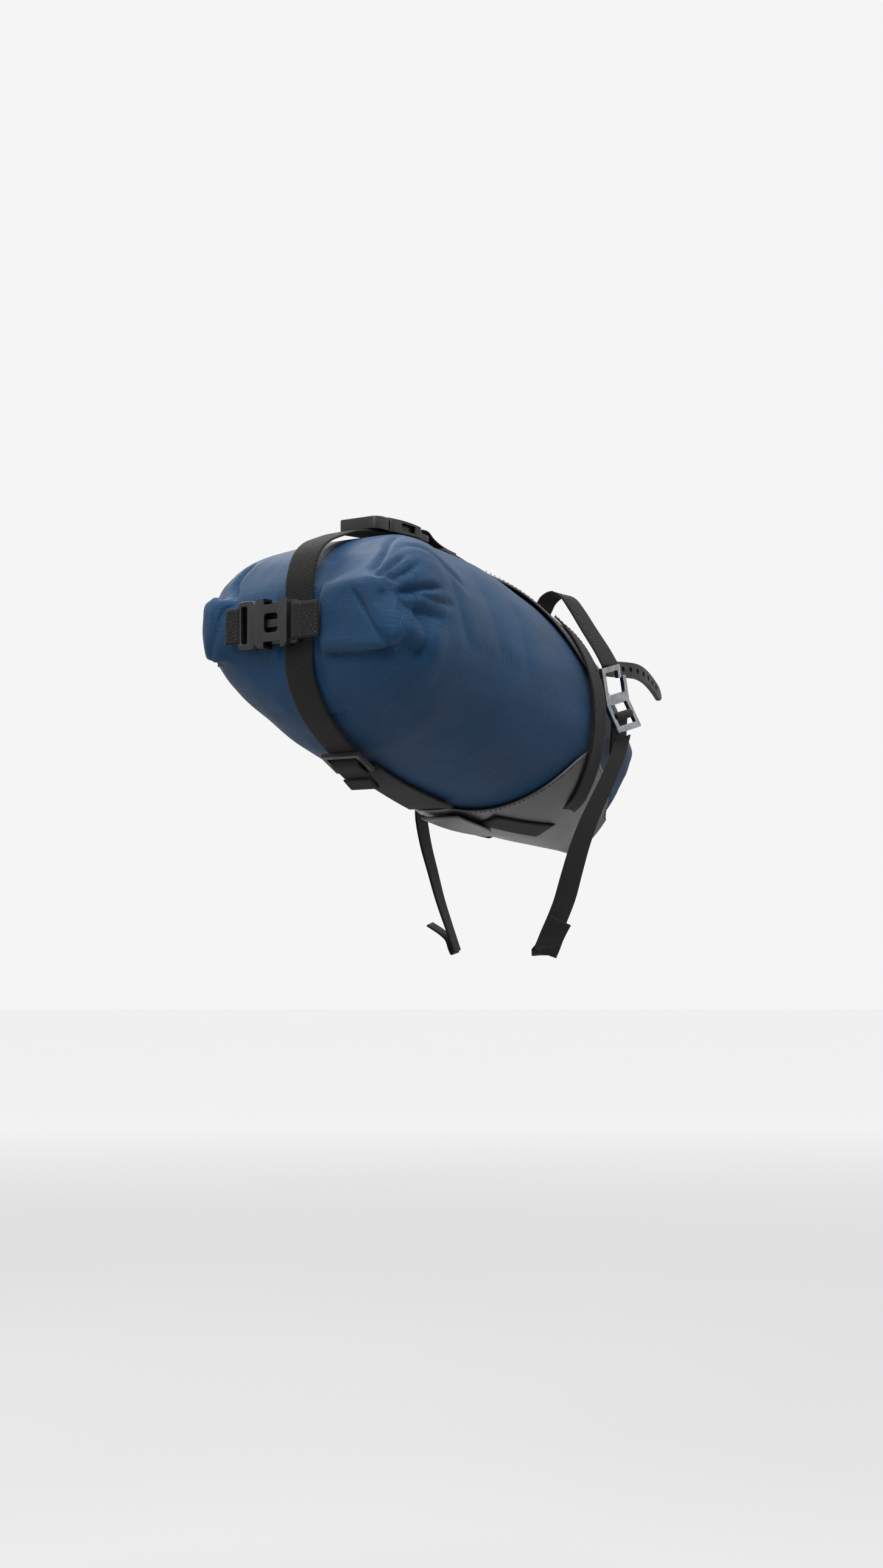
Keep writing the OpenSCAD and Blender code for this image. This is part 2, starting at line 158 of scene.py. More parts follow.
def node(tree, kind, sockets, out=0, **settings):
    """Adds a node with its settings, socket values and links, and gives back one of its outputs."""
    made = tree.nodes.new("ShaderNode" + kind)
    for key, value in settings.items():
        setattr(made, key, value)
    for socket, value in sockets.items():
        if isinstance(value, bpy.types.NodeSocket):
            tree.links.new(value, made.inputs[socket])
        else:
            made.inputs[socket].default_value = value
    return made.outputs[out]


def finish(name, shader, paint):
    """A material: constants on the shader, then what paint() returns for colour, roughness and bump."""
    mat = bpy.data.materials.new(name)
    mat.use_nodes = True
    tree = mat.node_tree
    bsdf = tree.nodes["Principled BSDF"]
    for socket, value in shader.items():
        bsdf.inputs[socket].default_value = value
    place = node(tree, "TexCoord", {}, "Object")
    colour, rough, height, strength, depth = paint(tree, place)
    bump = node(tree, "Bump", {"Height": height, "Strength": strength, "Distance": depth})
    for socket, value in (("Base Color", colour), ("Roughness", rough), ("Normal", bump)):
        tree.links.new(value, bsdf.inputs[socket])
    return mat


def cloth_places(tree):
    """The two coordinates, in millimetres, that a woven piece carries in its own UV map."""
    uv = node(tree, "UVMap", {}, uv_map="cloth")
    return [node(tree, "SeparateXYZ", {0: uv}, axis) for axis in (0, 1)]


def ribs(tree, along, pitch):
    """Rounded ribs, one every pitch millimetres."""
    turn = node(tree, "Math", {0: along, 1: math.pi / pitch}, operation="MULTIPLY")
    wave = node(tree, "Math", {0: turn}, operation="SINE")
    return node(tree, "Math", {0: wave}, operation="ABSOLUTE")


def two_tones(tree, tone, dark, pale, low=0.0, high=1.0):
    """Turns from one colour to the other as a value runs from low to high."""
    share = node(tree, "MapRange", {0: tone, 1: low, 2: high})
    return node(tree, "Mix", {0: share, 6: linear(dark), 7: linear(pale)}, 2, data_type="RGBA")


def marked(tree, place, scale, detail, tones, shine, share=(0.3, 0.7), span=(0.3, 0.7)):
    """Slow marks, with the colour and the roughness that follow them."""
    marks = node(tree, "TexNoise", {"Vector": place, "Scale": scale, "Detail": detail})
    rough = node(tree, "MapRange", {0: marks, 1: span[0], 2: span[1], 3: shine[0], 4: shine[1]})
    return marks, two_tones(tree, marks, *tones, *share), rough


def coated_ripstop(tree, place):
    u, v = cloth_places(tree)
    # the thicker threads are 5 mm apart; the plain weave between them is drawn at 0.8 mm to show
    lines = [node(tree, "MapRange", {0: ribs(tree, way, 5.0), 1: 0.16, 2: 0.0}) for way in (u, v)]
    grid = node(tree, "Math", {0: lines[0], 1: lines[1]}, operation="MAXIMUM")
    weave = node(tree, "Math", {0: ribs(tree, u, 0.8), 1: ribs(tree, v, 0.8)}, operation="MULTIPLY")
    height = node(tree, "Math", {0: grid, 1: 0.6, 2: weave}, operation="MULTIPLY_ADD")
    # the coat is uneven over about 45 mm, and the yarn mottles over 1 mm
    cloud = node(tree, "TexNoise", {"Vector": place, "Scale": 22.0, "Detail": 4.0})
    mottle = node(tree, "TexNoise", {"Vector": place, "Scale": 900.0, "Detail": 2.0})
    tone = node(tree, "Math", {0: mottle, 1: 0.5, 2: cloud}, operation="MULTIPLY_ADD")
    tone = node(tree, "Math", {0: grid, 1: 0.3, 2: tone}, operation="MULTIPLY_ADD")
    colour = two_tones(tree, tone, "#02253f", "#063251", 0.5, 1.15)
    rough = node(tree, "MapRange", {0: cloud, 1: 0.3, 2: 0.7, 3: 0.46, 4: 0.58})
    return colour, rough, height, 0.6, 0.0004


def woven_webbing(tree, place):
    u, v = cloth_places(tree)
    # cross ribs every 1.5 mm that lean a little, and warp threads every 0.8 mm between them
    lean = node(tree, "Math", {0: v, 1: 0.12, 2: u}, operation="MULTIPLY_ADD")
    rib = ribs(tree, lean, 1.5)
    height = node(tree, "Math", {0: ribs(tree, v, 0.8), 1: 0.25, 2: rib}, operation="MULTIPLY_ADD")
    fluff = node(tree, "TexNoise", {"Vector": place, "Scale": 700.0, "Detail": 3.0})
    dust = node(tree, "MapRange", {0: fluff, 1: 0.2, 2: 0.8, 3: 0.6, 4: 1.1})
    tone = node(tree, "Math", {0: rib, 1: dust}, operation="MULTIPLY")
    colour = two_tones(tree, tone, "#030303", "#131110", 0.1, 0.95)
    rough = node(tree, "MapRange", {0: fluff, 1: 0.2, 2: 0.8, 3: 0.62, 4: 0.85})
    return colour, rough, height, 0.8, 0.0004


def rubber_laminate(tree, place):
    # pebble 0.8 mm across, and scuffs 30 mm across
    pebble = node(tree, "TexVoronoi", {"Vector": place, "Scale": 1250.0})
    _, colour, rough = marked(tree, place, 33.0, 5.0, ("#1a1718", "#272223"), (0.36, 0.5))
    return colour, rough, pebble, 0.12, 0.0002


def moulded_acetal(tree, place):
    # spark-eroded grain 0.35 mm across, and slow flow marks
    grain = node(tree, "TexNoise", {"Vector": place, "Scale": 2800.0, "Detail": 2.0})
    _, colour, rough = marked(tree, place, 120.0, 3.0, ("#050505", "#0a0909"), (0.36, 0.48))
    return colour, rough, grain, 0.2, 0.00015


def tumbled_steel(tree, place):
    # handling marks 4 mm long over a finer scratch drawn 0.3 mm apart
    _, colour, rough = marked(tree, place, 260.0, 6.0, ("#7d8083", "#9c9fa2"), (0.14, 0.3))
    drawn = node(tree, "Mapping", {0: place, 3: (1.0, 1.0, 0.08)})
    fine = node(tree, "TexNoise", {"Vector": drawn, "Scale": 3000.0, "Detail": 2.0})
    return colour, rough, fine, 0.06, 0.0001


def moulded_elastomer(tree, place):
    # bloom in patches 11 mm across and a grain of 0.45 mm
    _, colour, rough = marked(tree, place, 90.0, 5.0, ("#090808", "#131110"), (0.5, 0.66), share=(0.35, 0.7))
    grain = node(tree, "TexNoise", {"Vector": place, "Scale": 2200.0, "Detail": 2.0})
    return colour, rough, grain, 0.15, 0.0002


def bonded_thread(tree, place):
    # the twist shows every 0.5 mm
    twist, colour, rough = marked(tree, place, 2000.0, 1.0, ("#0b0a0a", "#242120"), (0.45, 0.6),
                                  share=(0, 1), span=(0.2, 0.8))
    return colour, rough, twist, 0.3, 0.0002


def extruded_board(tree, place):
    # draw marks 7 mm across
    streak, colour, rough = marked(tree, place, 150.0, 3.0, ("#2b2b2b", "#3a3a3a"), (0.4, 0.55),
                                   share=(0, 1), span=(0.2, 0.8))
    return colour, rough, streak, 0.1, 0.0002


def matt_paint(tree, place):
    # roller marks half a metre across; paler paint from 1.5 m to 7 m out, where the lamps don't reach
    roll = node(tree, "TexNoise", {"Vector": place, "Scale": 2.0})
    away = node(tree, "VectorMath", {0: place}, 1, operation="LENGTH")
    base = two_tones(tree, away, "#a0a0a0", "#cbcbcb", 1.5, 7.0)
    tint = node(tree, "MapRange", {0: roll, 3: 0.0, 4: 0.02})
    colour = node(tree, "Mix", {0: tint, 6: base, 7: (1, 1, 1, 1)}, 2, data_type="RGBA")
    rough = node(tree, "MapRange", {0: roll, 3: 0.85, 4: 0.95})
    return colour, rough, roll, 0.02, 0.001


# ripstop nylon with a polyurethane coat: satin cloth with a faint grid of thicker threads
NYLON = finish("coated_ripstop_nylon", {"Specular IOR Level": 0.16, "Sheen Weight": 0.03,
                                        "Sheen Roughness": 0.45}, coated_ripstop)
# nylon webbing off a narrow loom: dull thread in rounded cross ribs
WEBBING = finish("woven_nylon_webbing", {"Specular IOR Level": 0.16, "Sheen Weight": 0.04,
                                         "Sheen Roughness": 0.5}, woven_webbing)
# calendered synthetic rubber on a cloth core: smooth, leathery satin
LAMINATE = finish("synthetic_rubber_laminate", {"Specular IOR Level": 0.5, "Coat Weight": 0.25,
                                                "Coat Roughness": 0.35}, rubber_laminate)
# acetal out of a spark-eroded mould: black, even and waxy
ACETAL = finish("moulded_acetal", {"IOR": 1.48}, moulded_acetal)
# stainless steel, stamped, bent and tumbled bright
STEEL = finish("tumbled_stainless_steel", {"Metallic": 1.0}, tumbled_steel)
# moulded thermoplastic rubber: dull black with a dusty bloom
RUBBER = finish("moulded_elastomer", {"Specular IOR Level": 0.35}, moulded_elastomer)
# bonded nylon sewing thread: a tight twist with a slight shine
THREAD = finish("bonded_thread", {"Specular IOR Level": 0.4}, bonded_thread)
# extruded polyethylene board: dark grey and slightly waxy
BOARD = finish("polyethylene_board", {"IOR": 1.5}, extruded_board)
# rolled wall paint on a studio sweep: even and matt
PAINT = finish("matt_studio_paint", {"Specular IOR Level": 0.2}, matt_paint)


def studio():
    camera()
    scene = bpy.context.scene
    scene.view_settings.view_transform = "Standard"
    world = bpy.data.worlds.new("studio")
    scene.world = world
    world.use_nodes = True
    tree = world.node_tree
    # soft boxes fill the ceiling, so the sky is brighter well above the horizon
    height = node(tree, "SeparateXYZ", {0: node(tree, "TexCoord", {}, "Generated")}, 2)
    share = node(tree, "MapRange", {0: height, 1: 0.4, 2: 0.95})
    sky = node(tree, "Mix", {0: share, 6: linear("#f5f5f5"), 7: (1.9, 1.9, 1.92, 1)}, 2, data_type="RGBA")
    tree.links.new(sky, tree.nodes["Background"].inputs[0])
    bm = bmesh.new()
    bmesh.ops.create_grid(bm, x_segments=1, y_segments=1, size=FLOOR_HALF)
    bmesh.ops.translate(bm, vec=(0, 0, FLOOR_Z), verts=bm.verts)
    mesh = bpy.data.meshes.new("floor")
    bm.to_mesh(mesh)
    bm.free()
    floor = bpy.data.objects.new("floor", mesh)
    scene.collection.objects.link(floor)
    mesh.materials.append(PAINT)
    area_light("key", (-0.7, -0.9, 2.3), (-0.1, 0, -0.05), 1.5, 85)
    area_light("fill", (-1.9, -0.4, 1.1), (-0.1, 0, -0.1), 1.4, 22)
    area_light("rim", (0.8, 1.8, 1.6), (-0.1, 0, -0.05), 1.5, 22)


studio()


# ---- making pieces ----

def finish_piece(name, bm, mat, body, replaces=(), smooth=True):
    """Turns a bmesh in millimetres into a piece that rides on a body."""
    bmesh.ops.scale(bm, vec=(MM, MM, MM), verts=bm.verts)
    mesh = bpy.data.meshes.new(name)
    bm.to_mesh(mesh)
    bm.free()
    if smooth:
        mesh.polygons.foreach_set("use_smooth", [True] * len(mesh.polygons))
    mesh.materials.append(mat)
    made = bpy.data.objects.new(name, mesh)
    bpy.context.scene.collection.objects.link(made)
    if body:
        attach(made, body)
        if replaces:
            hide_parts(*replaces)
    return made


@contextmanager
def editing(mesh):
    """The mesh as a bmesh, written back when the block ends."""
    bm = bmesh.new()
    bm.from_mesh(mesh)
    yield bm
    bm.to_mesh(mesh)
    bm.free()


def ring(bm, points):
    """A closed loop of vertices at the given points; returns its edges."""
    verts = bmesh.ops.create_circle(bm, cap_ends=False, segments=len(points), radius=1)["verts"]
    for vert, point in zip(verts, points):
        vert.co = point
    return list({edge for vert in verts for edge in vert.link_edges})


def loft(bm, rings, cap=True):
    """A closed shell through rings of equally many points."""
    edges = [ring(bm, points) for points in rings]
    for a, b in zip(edges, edges[1:]):
        bmesh.ops.bridge_loops(bm, edges=a + b)
    if cap:
        for end in (edges[0], edges[-1]):
            bmesh.ops.contextual_create(bm, geom=end)
    bmesh.ops.recalc_face_normals(bm, faces=bm.faces)


def frames(route, sides, square=True):
    """Run, side and face directions along a route; square turns each side square to the run."""
    last = len(route) - 1
    out = []
    for i in range(last + 1):
        run = (route[min(i + 1, last)] - route[max(i - 1, 0)]).normalized()
        side = Vector(sides[i] if isinstance(sides, list) else sides)
        if square:
            side = side - run * side.dot(run)
        side.normalize()
        out.append((run, side, run.cross(side).normalized()))
    return out


def band_places(width):
    """Places across a band where its long edges of vertices run."""
    half = width / 2
    return [-half, -half + 0.5, -half + 2.2, -half / 3, half / 3, half - 2.2, half - 0.5, half]


def strip_rings(route, sides, width, thick, crown=0.0, taper=None, square=True):
    """Rings of a flat woven band with rounded edges: 14 points round the section."""
    rings = []
    for i, (run, side, face) in enumerate(frames(route, sides, square)):
        scale = taper[i] if taper else 1.0
        top, below = [], []
        for y in band_places(width):
            edge = 0.0 if abs(abs(y) - width / 2) < 1e-6 else 0.5
            lift = crown * (1 - (2 * y / width) ** 2)
            top.append(route[i] + side * y * scale + face * (edge * thick + lift))
            if edge:
                below.append(route[i] + side * y * scale + face * (-edge * thick + lift))
        rings.append(top + below[::-1])
    return rings


def lay_uv(mesh, route, width):
    """UV in millimetres along and across a band whose rings were lofted in order."""
    along = [0.0]
    for a, b in zip(route, route[1:]):
        along.append(along[-1] + (b - a).length)
    across = band_places(width)
    across += across[1:-1][::-1]
    layer = mesh.uv_layers.new(name="cloth")
    for loop in mesh.loops:
        row, place = divmod(loop.vertex_index, len(across))
        if row < len(along):
            layer.data[loop.index].uv = (along[row], across[place])


def band(name, route, sides, width, body, replaces=(), thick=WEB, crown=0.0, mat=WEBBING,
         taper=None, square=True):
    bm = bmesh.new()
    loft(bm, strip_rings(route, sides, width, thick, crown, taper, square))
    made = finish_piece(name, bm, mat, body, replaces)
    lay_uv(made.data, route, width)
    return made


def same_side(start, end, count):
    a, b = Vector(start), Vector(end)
    return [tuple(a.lerp(b, i / (count - 1)).normalized()) for i in range(count)]


def stitches(name, runs, body, length=2.4, gap=1.2, radius=0.32):
    """Rows of sewn stitches: each run is (points, face direction at each point)."""
    bm = bmesh.new()
    for points, faces in runs:
        travelled, due = 0.0, 0.4
        for i, (a, b) in enumerate(zip(points, points[1:])):
            step = (b - a).length
            while due + length <= travelled + step + 1e-6 or due < travelled + step:
                t = (due + length / 2 - travelled) / step
                if t > 1.0 + length / step:
                    break
                place = a.lerp(b, min(t, 1.0))
                face = Vector(faces[min(i, len(faces) - 1)]).normalized()
                run = (b - a).normalized()
                turn = Matrix((run, face.cross(run).normalized(), face)).transposed().to_4x4()
                size = Matrix.Diagonal((length / 2, radius, radius * 0.8, 1))
                bmesh.ops.create_uvsphere(bm, u_segments=6, v_segments=4, radius=1,
                                          matrix=Matrix.Translation(place) @ turn @ size)
                due += length + gap
            travelled += step
    return finish_piece(name, bm, THREAD, body)


def outline_block(bm, outline, low, high):
    """A prism of a plan outline between two heights; returns its vertices."""
    verts = [bm.verts.new((x, y, low)) for x, y in outline]
    face = bmesh.ops.contextual_create(bm, geom=verts)["faces"]
    top = bmesh.ops.extrude_face_region(bm, geom=face)["geom"]
    raised = [v for v in top if isinstance(v, bmesh.types.BMVert)]
    bmesh.ops.translate(bm, vec=(0, 0, high - low), verts=raised)
    return verts + raised


def rounded(x0, x1, y0, y1, r, steps=4):
    """Corner points of a rounded rectangle."""
    points = []
    for cx, cy, start in ((x1 - r, y1 - r, 0), (x0 + r, y1 - r, 90),
                          (x0 + r, y0 + r, 180), (x1 - r, y0 + r, 270)):
        for k in range(steps + 1):
            a = math.radians(start + 90 * k / steps)
            points.append((cx + r * math.cos(a), cy + r * math.sin(a)))
    return points


def moulded(name, blocks, cutters, place, mat, body, replaces=(), bevel=0.6, bend=None):
    """A moulded part: blocks (outline, low, high) joined, cutters taken away, edges rounded, then placed."""
    scene = bpy.context.scene
    bm = bmesh.new()
    outline_block(bm, *blocks[0])
    bmesh.ops.recalc_face_normals(bm, faces=bm.faces)
    base = finish_piece(name, bm, mat, None, smooth=False)
    helpers = []
    for kind, group in (("UNION", blocks[1:]), ("DIFFERENCE", cutters)):
        for item in group:
            bm = bmesh.new()
            outline_block(bm, *item[:3])
            if len(item) > 3:
                bmesh.ops.transform(bm, matrix=item[3], verts=bm.verts)
            bmesh.ops.recalc_face_normals(bm, faces=bm.faces)
            helper = finish_piece("cutter", bm, mat, None, smooth=False)
            helpers.append(helper)
            mod = base.modifiers.new("shape", "BOOLEAN")
            mod.object, mod.operation, mod.solver = helper, kind, "EXACT"
    round_off = base.modifiers.new("edges", "BEVEL")
    round_off.width, round_off.segments, round_off.limit_method = bevel * MM, 3, "ANGLE"
    round_off.angle_limit = math.radians(40)
    round_off.harden_normals = False
    shaped = bpy.data.meshes.new_from_object(base.evaluated_get(bpy.context.evaluated_depsgraph_get()))
    bpy.data.objects.remove(base)
    for helper in helpers:
        bpy.data.objects.remove(helper)
    bm = bmesh.new()
    bm.from_mesh(shaped)
    bmesh.ops.scale(bm, vec=(1 / MM,) * 3, verts=bm.verts)
    bmesh.ops.remove_doubles(bm, verts=bm.verts, dist=0.01)
    if bend:
        for x in np.arange(bend[0], bend[1], 3.0):
            bmesh.ops.bisect_plane(bm, geom=list(bm.verts) + list(bm.edges) + list(bm.faces),
                                   plane_co=(x, 0, 0), plane_no=(1, 0, 0), dist=0.001)
        for v in bm.verts:
            v.co.z += bend[2](v.co.x, v.co.z)
    bmesh.ops.transform(bm, matrix=place, verts=bm.verts)
    bmesh.ops.recalc_face_normals(bm, faces=bm.faces)
    made = finish_piece(name, bm, mat, body, replaces, smooth=False)
    made.data.materials.clear()
    made.data.materials.append(mat)
    smooth_by_angle(made, 35)
    return made


def smooth_by_angle(piece, degrees):
    """Smooth faces, with the edges that are sharper than the angle kept crisp."""
    with editing(piece.data) as bm:
        for face in bm.faces:
            face.smooth = True
        for edge in bm.edges:
            if len(edge.link_faces) == 2 and edge.calc_face_angle() > math.radians(degrees):
                edge.smooth = False


# ---- hanging webbing tails, the free cords of the pack ----

TAIL_ROUTES = {
    "right": [(13, -80.5, -103), (8, -81.5, -110), (0, -83, -121), (-10, -83, -135), (-20, -81.5, -150),
              (-29, -79, -166), (-36, -75, -186), (-39, -70, -206), (-41, -64.5, -226), (-48, -59.5, -246)],
    "left": [(13, 80.5, -103), (8, 82.5, -110), (0, 86, -121), (-11, 87, -135), (-19, 85, -154),
             (-20, 80, -178), (-18, 74.5, -200), (-15, 69.5, -222), (-9, 65, -244)]}
TAIL_TWIST = {"right": -0.42, "left": 0.42}
FLAP_OPENED = {"right": 3.0, "left": 11.0}   # how far the folded end stands off at its tip
FOLD = 18.2                                  # length of the doubled end


def hanging_tail(hand):
    points, body = TAIL_ROUTES[hand], "tail_" + hand
    route = route_of(points, 4)
    run = (Vector(points[-1]) - Vector(points[-2])).normalized()
    end = route[-1]
    route += [end + run * FOLD * k / 4 for k in range(1, 5)]
    twist = (1, TAIL_TWIST[hand], 0.1)
    sides = same_side((1, 0, 0.25), twist, len(route) - 4) + [tuple(Vector(twist).normalized())] * 4
    tail = band("tail_web_" + hand, route, sides, NARROW, body, ["tail_" + hand], thick=1.4,
                crown=0.25, square=False)
    tip = route[-1]
    side = Vector(sides[-1])
    away = run.cross(side).normalized()
    if (away.y > 0) == (hand == "right"):
        away = -away
    opened = FLAP_OPENED[hand]
    fold = [tip + run * back + away * off for back, off in (
        (-2.5, 1.5), (-0.3, 1.3), (0.9, 1.9), (-0.4, 2.7), (-5, 2.9), (-11, 3.0),
        (-16, 3.0 + 0.25 * opened), (-21, 3.0 + 0.6 * opened), (-26, 3.0 + opened))]
    flap = band("tail_flap_" + hand, route_of(fold, 2), tuple(side), NARROW + 0.6, body,
                ["tail_fold_" + hand], thick=1.3)
    rows = [([tip - run * back + side * t + away * 3.75 for t in np.arange(-8.5, 8.6, 1.0)], [away])
            for back in (4.0, 5.5, 9.5, 11.0)]
    sewn = stitches("tail_sewing_" + hand, rows, body, length=1.7, gap=0.9)


for hand in HANDS:
    hanging_tail(hand)


# ---- shaping the dry bag ----

# the stations again, with the last 15 mm drawn in to the rolled top
SOFT_STATIONS = np.vstack([
    [(-258, -73, -42, -17, 82, 3.2, 6.0), (-252, -84, -44, -9, 88, 3.0, 7.0),
     (-246, -91, -45, -1, 91, 2.8, 7.0), (-238, -100, -46, 8, 93, 2.6, 6.0),
     (-230, -108, -47, 16, 94, 2.4, 5.0), (-204, -127, -52, 26, 91, 2.3, 3.3)], STATIONS[3:-2],
    [(46, -182, -102, -46, 64, 1.5, 1.7), (62, -184, -111, -56, 59, 1.35, 1.45)]])
BAG_INSET, SWELL = 1.2, 6.0                  # how much too small the shell starts, and the most it grows
VOXEL = 4.0
BODY_BACK, BODY_FRONT, NOSE = -236, 62, 65   # where the stations hold, and the front of the cloth
FINE_END = -214.0                            # behind this x the cloth is gathered
ROUND_SCALE = 1.4                            # millimetres round the bag for one degree

CREASES = [                                  # points in millimetres, depth, half width
    ([(-257, -66, -20), (-252, -71, -11), (-243, -78, 2)], 2.6, 2.2),
    ([(-257, -70, -21), (-250, -80, -15), (-238, -88, -4)], 3.0, 2.4),
    ([(-258, -72, -23), (-248, -88, -24), (-220, -94, -20)], 4.2, 2.8),
    ([(-250, -88, -27), (-224, -92, -30), (-204, -91, -30)], 2.0, 3.0),
    ([(-258, -74, -27), (-250, -90, -36), (-218, -94, -42)], 6.0, 9.0),
    ([(-268, -54, -22), (-267, -68, -42), (-262, -82, -62)], 2.6, 2.8),
    ([(-262, -24, -67), (-262, -48, -67), (-256, -86, -65)], 5.5, 4.5),
    ([(-206, -44, 23), (-240, -60, 6), (-257, -63, -16)], 2.4, 2.6),
    ([(-256, -82, -56), (-236, -92, -70)], 4.0, 5.0),
    ([(-246, -91, -36), (-236, -93, -54), (-238, -88, -74)], 4.0, 6.0),
    ([(-200, -82, -8), (-196, -91, -34), (-186, -90, -58)], 1.5, 6.0),
    ([(-148, -70, -3), (-150, -85, -36), (-148, -88, -60)], 1.2, 7.0),
    ([(-112, -72, -14), (-116, -85, -44), (-116, -87, -70)], 1.0, 7.0),
    ([(-236, -70, 10), (-208, -82, 4), (-178, -88, -12)], 1.8, 3.2),
    ([(-266, 56, -18), (-267, 66, -34), (-264, 76, -60)], 2.6, 2.8),
    ([(-257, 72, -24), (-250, 86, -26), (-228, 93, -20)], 4.0, 3.0),
    ([(-257, 60, -19), (-248, 68, -5), (-232, 64, 12)], 2.6, 2.6),
    ([(-190, 82, -14), (-186, 90, -44), (-178, 86, -74)], 1.5, 6.0),
    ([(-140, 76, -16), (-142, 86, -50), (-138, 82, -84)], 1.2, 7.0),
    ([(-230, -20, 15), (-200, -46, 22), (-172, -62, 12)], 1.4, 3.0),
    ([(-230, 20, 15), (-200, 46, 22), (-176, 66, 8)], 1.4, 3.0)]


def inset_ring(x, inset, table):
    row = section(x, table)[0] - np.array([0, -inset, 0, inset, inset, 0, 0])
    return [outline_point(row, x, math.radians(5 * k)) for k in range(72)]


def circle(count):
    """Cosine and sine of evenly spaced angles."""
    return [(math.cos(2 * math.pi * k / count), math.sin(2 * math.pi * k / count)) for k in range(count)]


def rolled_top_rings():
    """The flattened, rolled mouth: one flat layer along the back, and an end folded back at each side."""
    outer, inner, bend, far, near = -264.0, -253.0, 5.5, 78.0, 80.0
    stops = [(outer, 65, 2.0, 17), (outer, 68, 4.0, 23), (outer, 72, 4.4, 25), (outer, 76, 4.4, 25)]
    for k in range(7):
        t = math.pi - math.pi * k / 6
        stops.append((ROLL_MID + bend * math.cos(t), far + bend * math.sin(t), 4.6, 25 - 2.5 * math.sin(t)))
    stops += [(inner, y, 5.5, 24) for y in range(66, -73, -12)]
    for k in range(7):
        t = math.pi * k / 6
        stops.append((ROLL_MID + bend * math.cos(t), -near - bend * math.sin(t), 4.6, 25 - 1.5 * math.sin(t)))
    stops += [(outer, -72, 4.6, 25), (outer, -60, 4.8, 26), (outer, -48, 4.6, 26),
              (outer, -36, 4.8, 25), (outer, -24, 4.4, 24.5), (outer, -21, 2.0, 19)]
    route = [Vector((x, y, ROLL_Z)) for x, y, _, _ in stops]
    rings = []
    for (run, side, face), place, (_, _, t, h) in zip(frames(route, (0, 0, 1)), route, stops):
        rings.append([place + side * h * signed_power(c, 0.55) + face * t * signed_power(n, 0.8)
                      for c, n in circle(24)])
    return rings


def gusset_rings():
    """Cloth gathered behind the folded end on the right, where the rolled mouth runs into the flank."""
    inner = -52
    stops = [(-266, -72, -60, -19), (-262, -81, -63, -16), (-256, -87, -66, -12), (-247, -91, -72, -6),
             (-236, -94, -82, 2), (-222, -94, -90, 6), (-206, -90, -96, 8)]
    return [[Vector((x, inner + (side - inner) * signed_power(c, 0.6),
                     (low + high) / 2 + (high - low) / 2 * signed_power(n, 0.75)))
             for c, n in circle(32)] for x, side, low, high in stops]


def covered(x, a, y, z):
    """How much of each point lies under the holster or a strap: 1 there, 0 well away from it."""
    hold = np.zeros(len(x))
    for reach, middle in ((CRADLE_REACH, 270), (YOKE_REACH, 90)):
        table = np.array(reach, float)
        half = np.interp(x, table[:, 0], table[:, 1])
        inside = (x > table[0, 0] - 4) & (x < table[-1, 0] + 4)
        gap = (np.abs((a - middle + 180) % 360 - 180) - half) * 1.5
        hold = np.maximum(hold, np.where(inside, np.clip(1 - gap / 9, 0, 1), 0))
    # the rear strap, the tongue and the top buckle: half width, fade beside it, and where it runs
    for half, fade, zone in ((14, 9, (x < -160) | (z < -100) & (x < -150)),
                             (22, 8, (z < -90) & (x < -90)),
                             (15, 8, (z > 0) & (x > -215) & (x < -95))):
        hold = np.maximum(hold, np.clip(1 - (np.abs(y) - half) / fade, 0, 1) * zone)
    # the flank straps
    for turn in (a % 360, (180 - a) % 360):
        near = (turn > 120) & (turn < 236)
        along = np.abs(x - (-28 + 0.7 * (turn - 128) / 4.4))
        hold = np.maximum(hold, np.where(near, np.clip(1 - (along - 11) / 7, 0, 1), 0))
    return np.clip(hold, 0, 1)


def on_body(co):
    """The points with x held to the stretch where the stations describe the bag."""
    held = co.copy()
    held[:, 0] = np.clip(co[:, 0], BODY_BACK, BODY_FRONT)
    return held


def polar(co):
    """Angle, distance from the middle over the skin's own distance, and that distance."""
    s = section(co[:, 0])
    dy, dz = co[:, 1], co[:, 2] - s[:, 2]
    top = dz >= 0
    h = np.where(top, s[:, 3] - s[:, 2], s[:, 2] - s[:, 1])
    power = np.where(top, s[:, 6], s[:, 5])
    ry, rz = np.abs(dy / s[:, 4]), np.abs(dz / h)
    share = (ry ** power + rz ** power) ** (1 / power)
    angle = np.degrees(np.arctan2(np.sign(dz) * rz ** (power / 2), np.sign(dy) * ry ** (power / 2))) % 360
    return angle, share, np.hypot(dy, dz) / np.maximum(share, 1e-6)


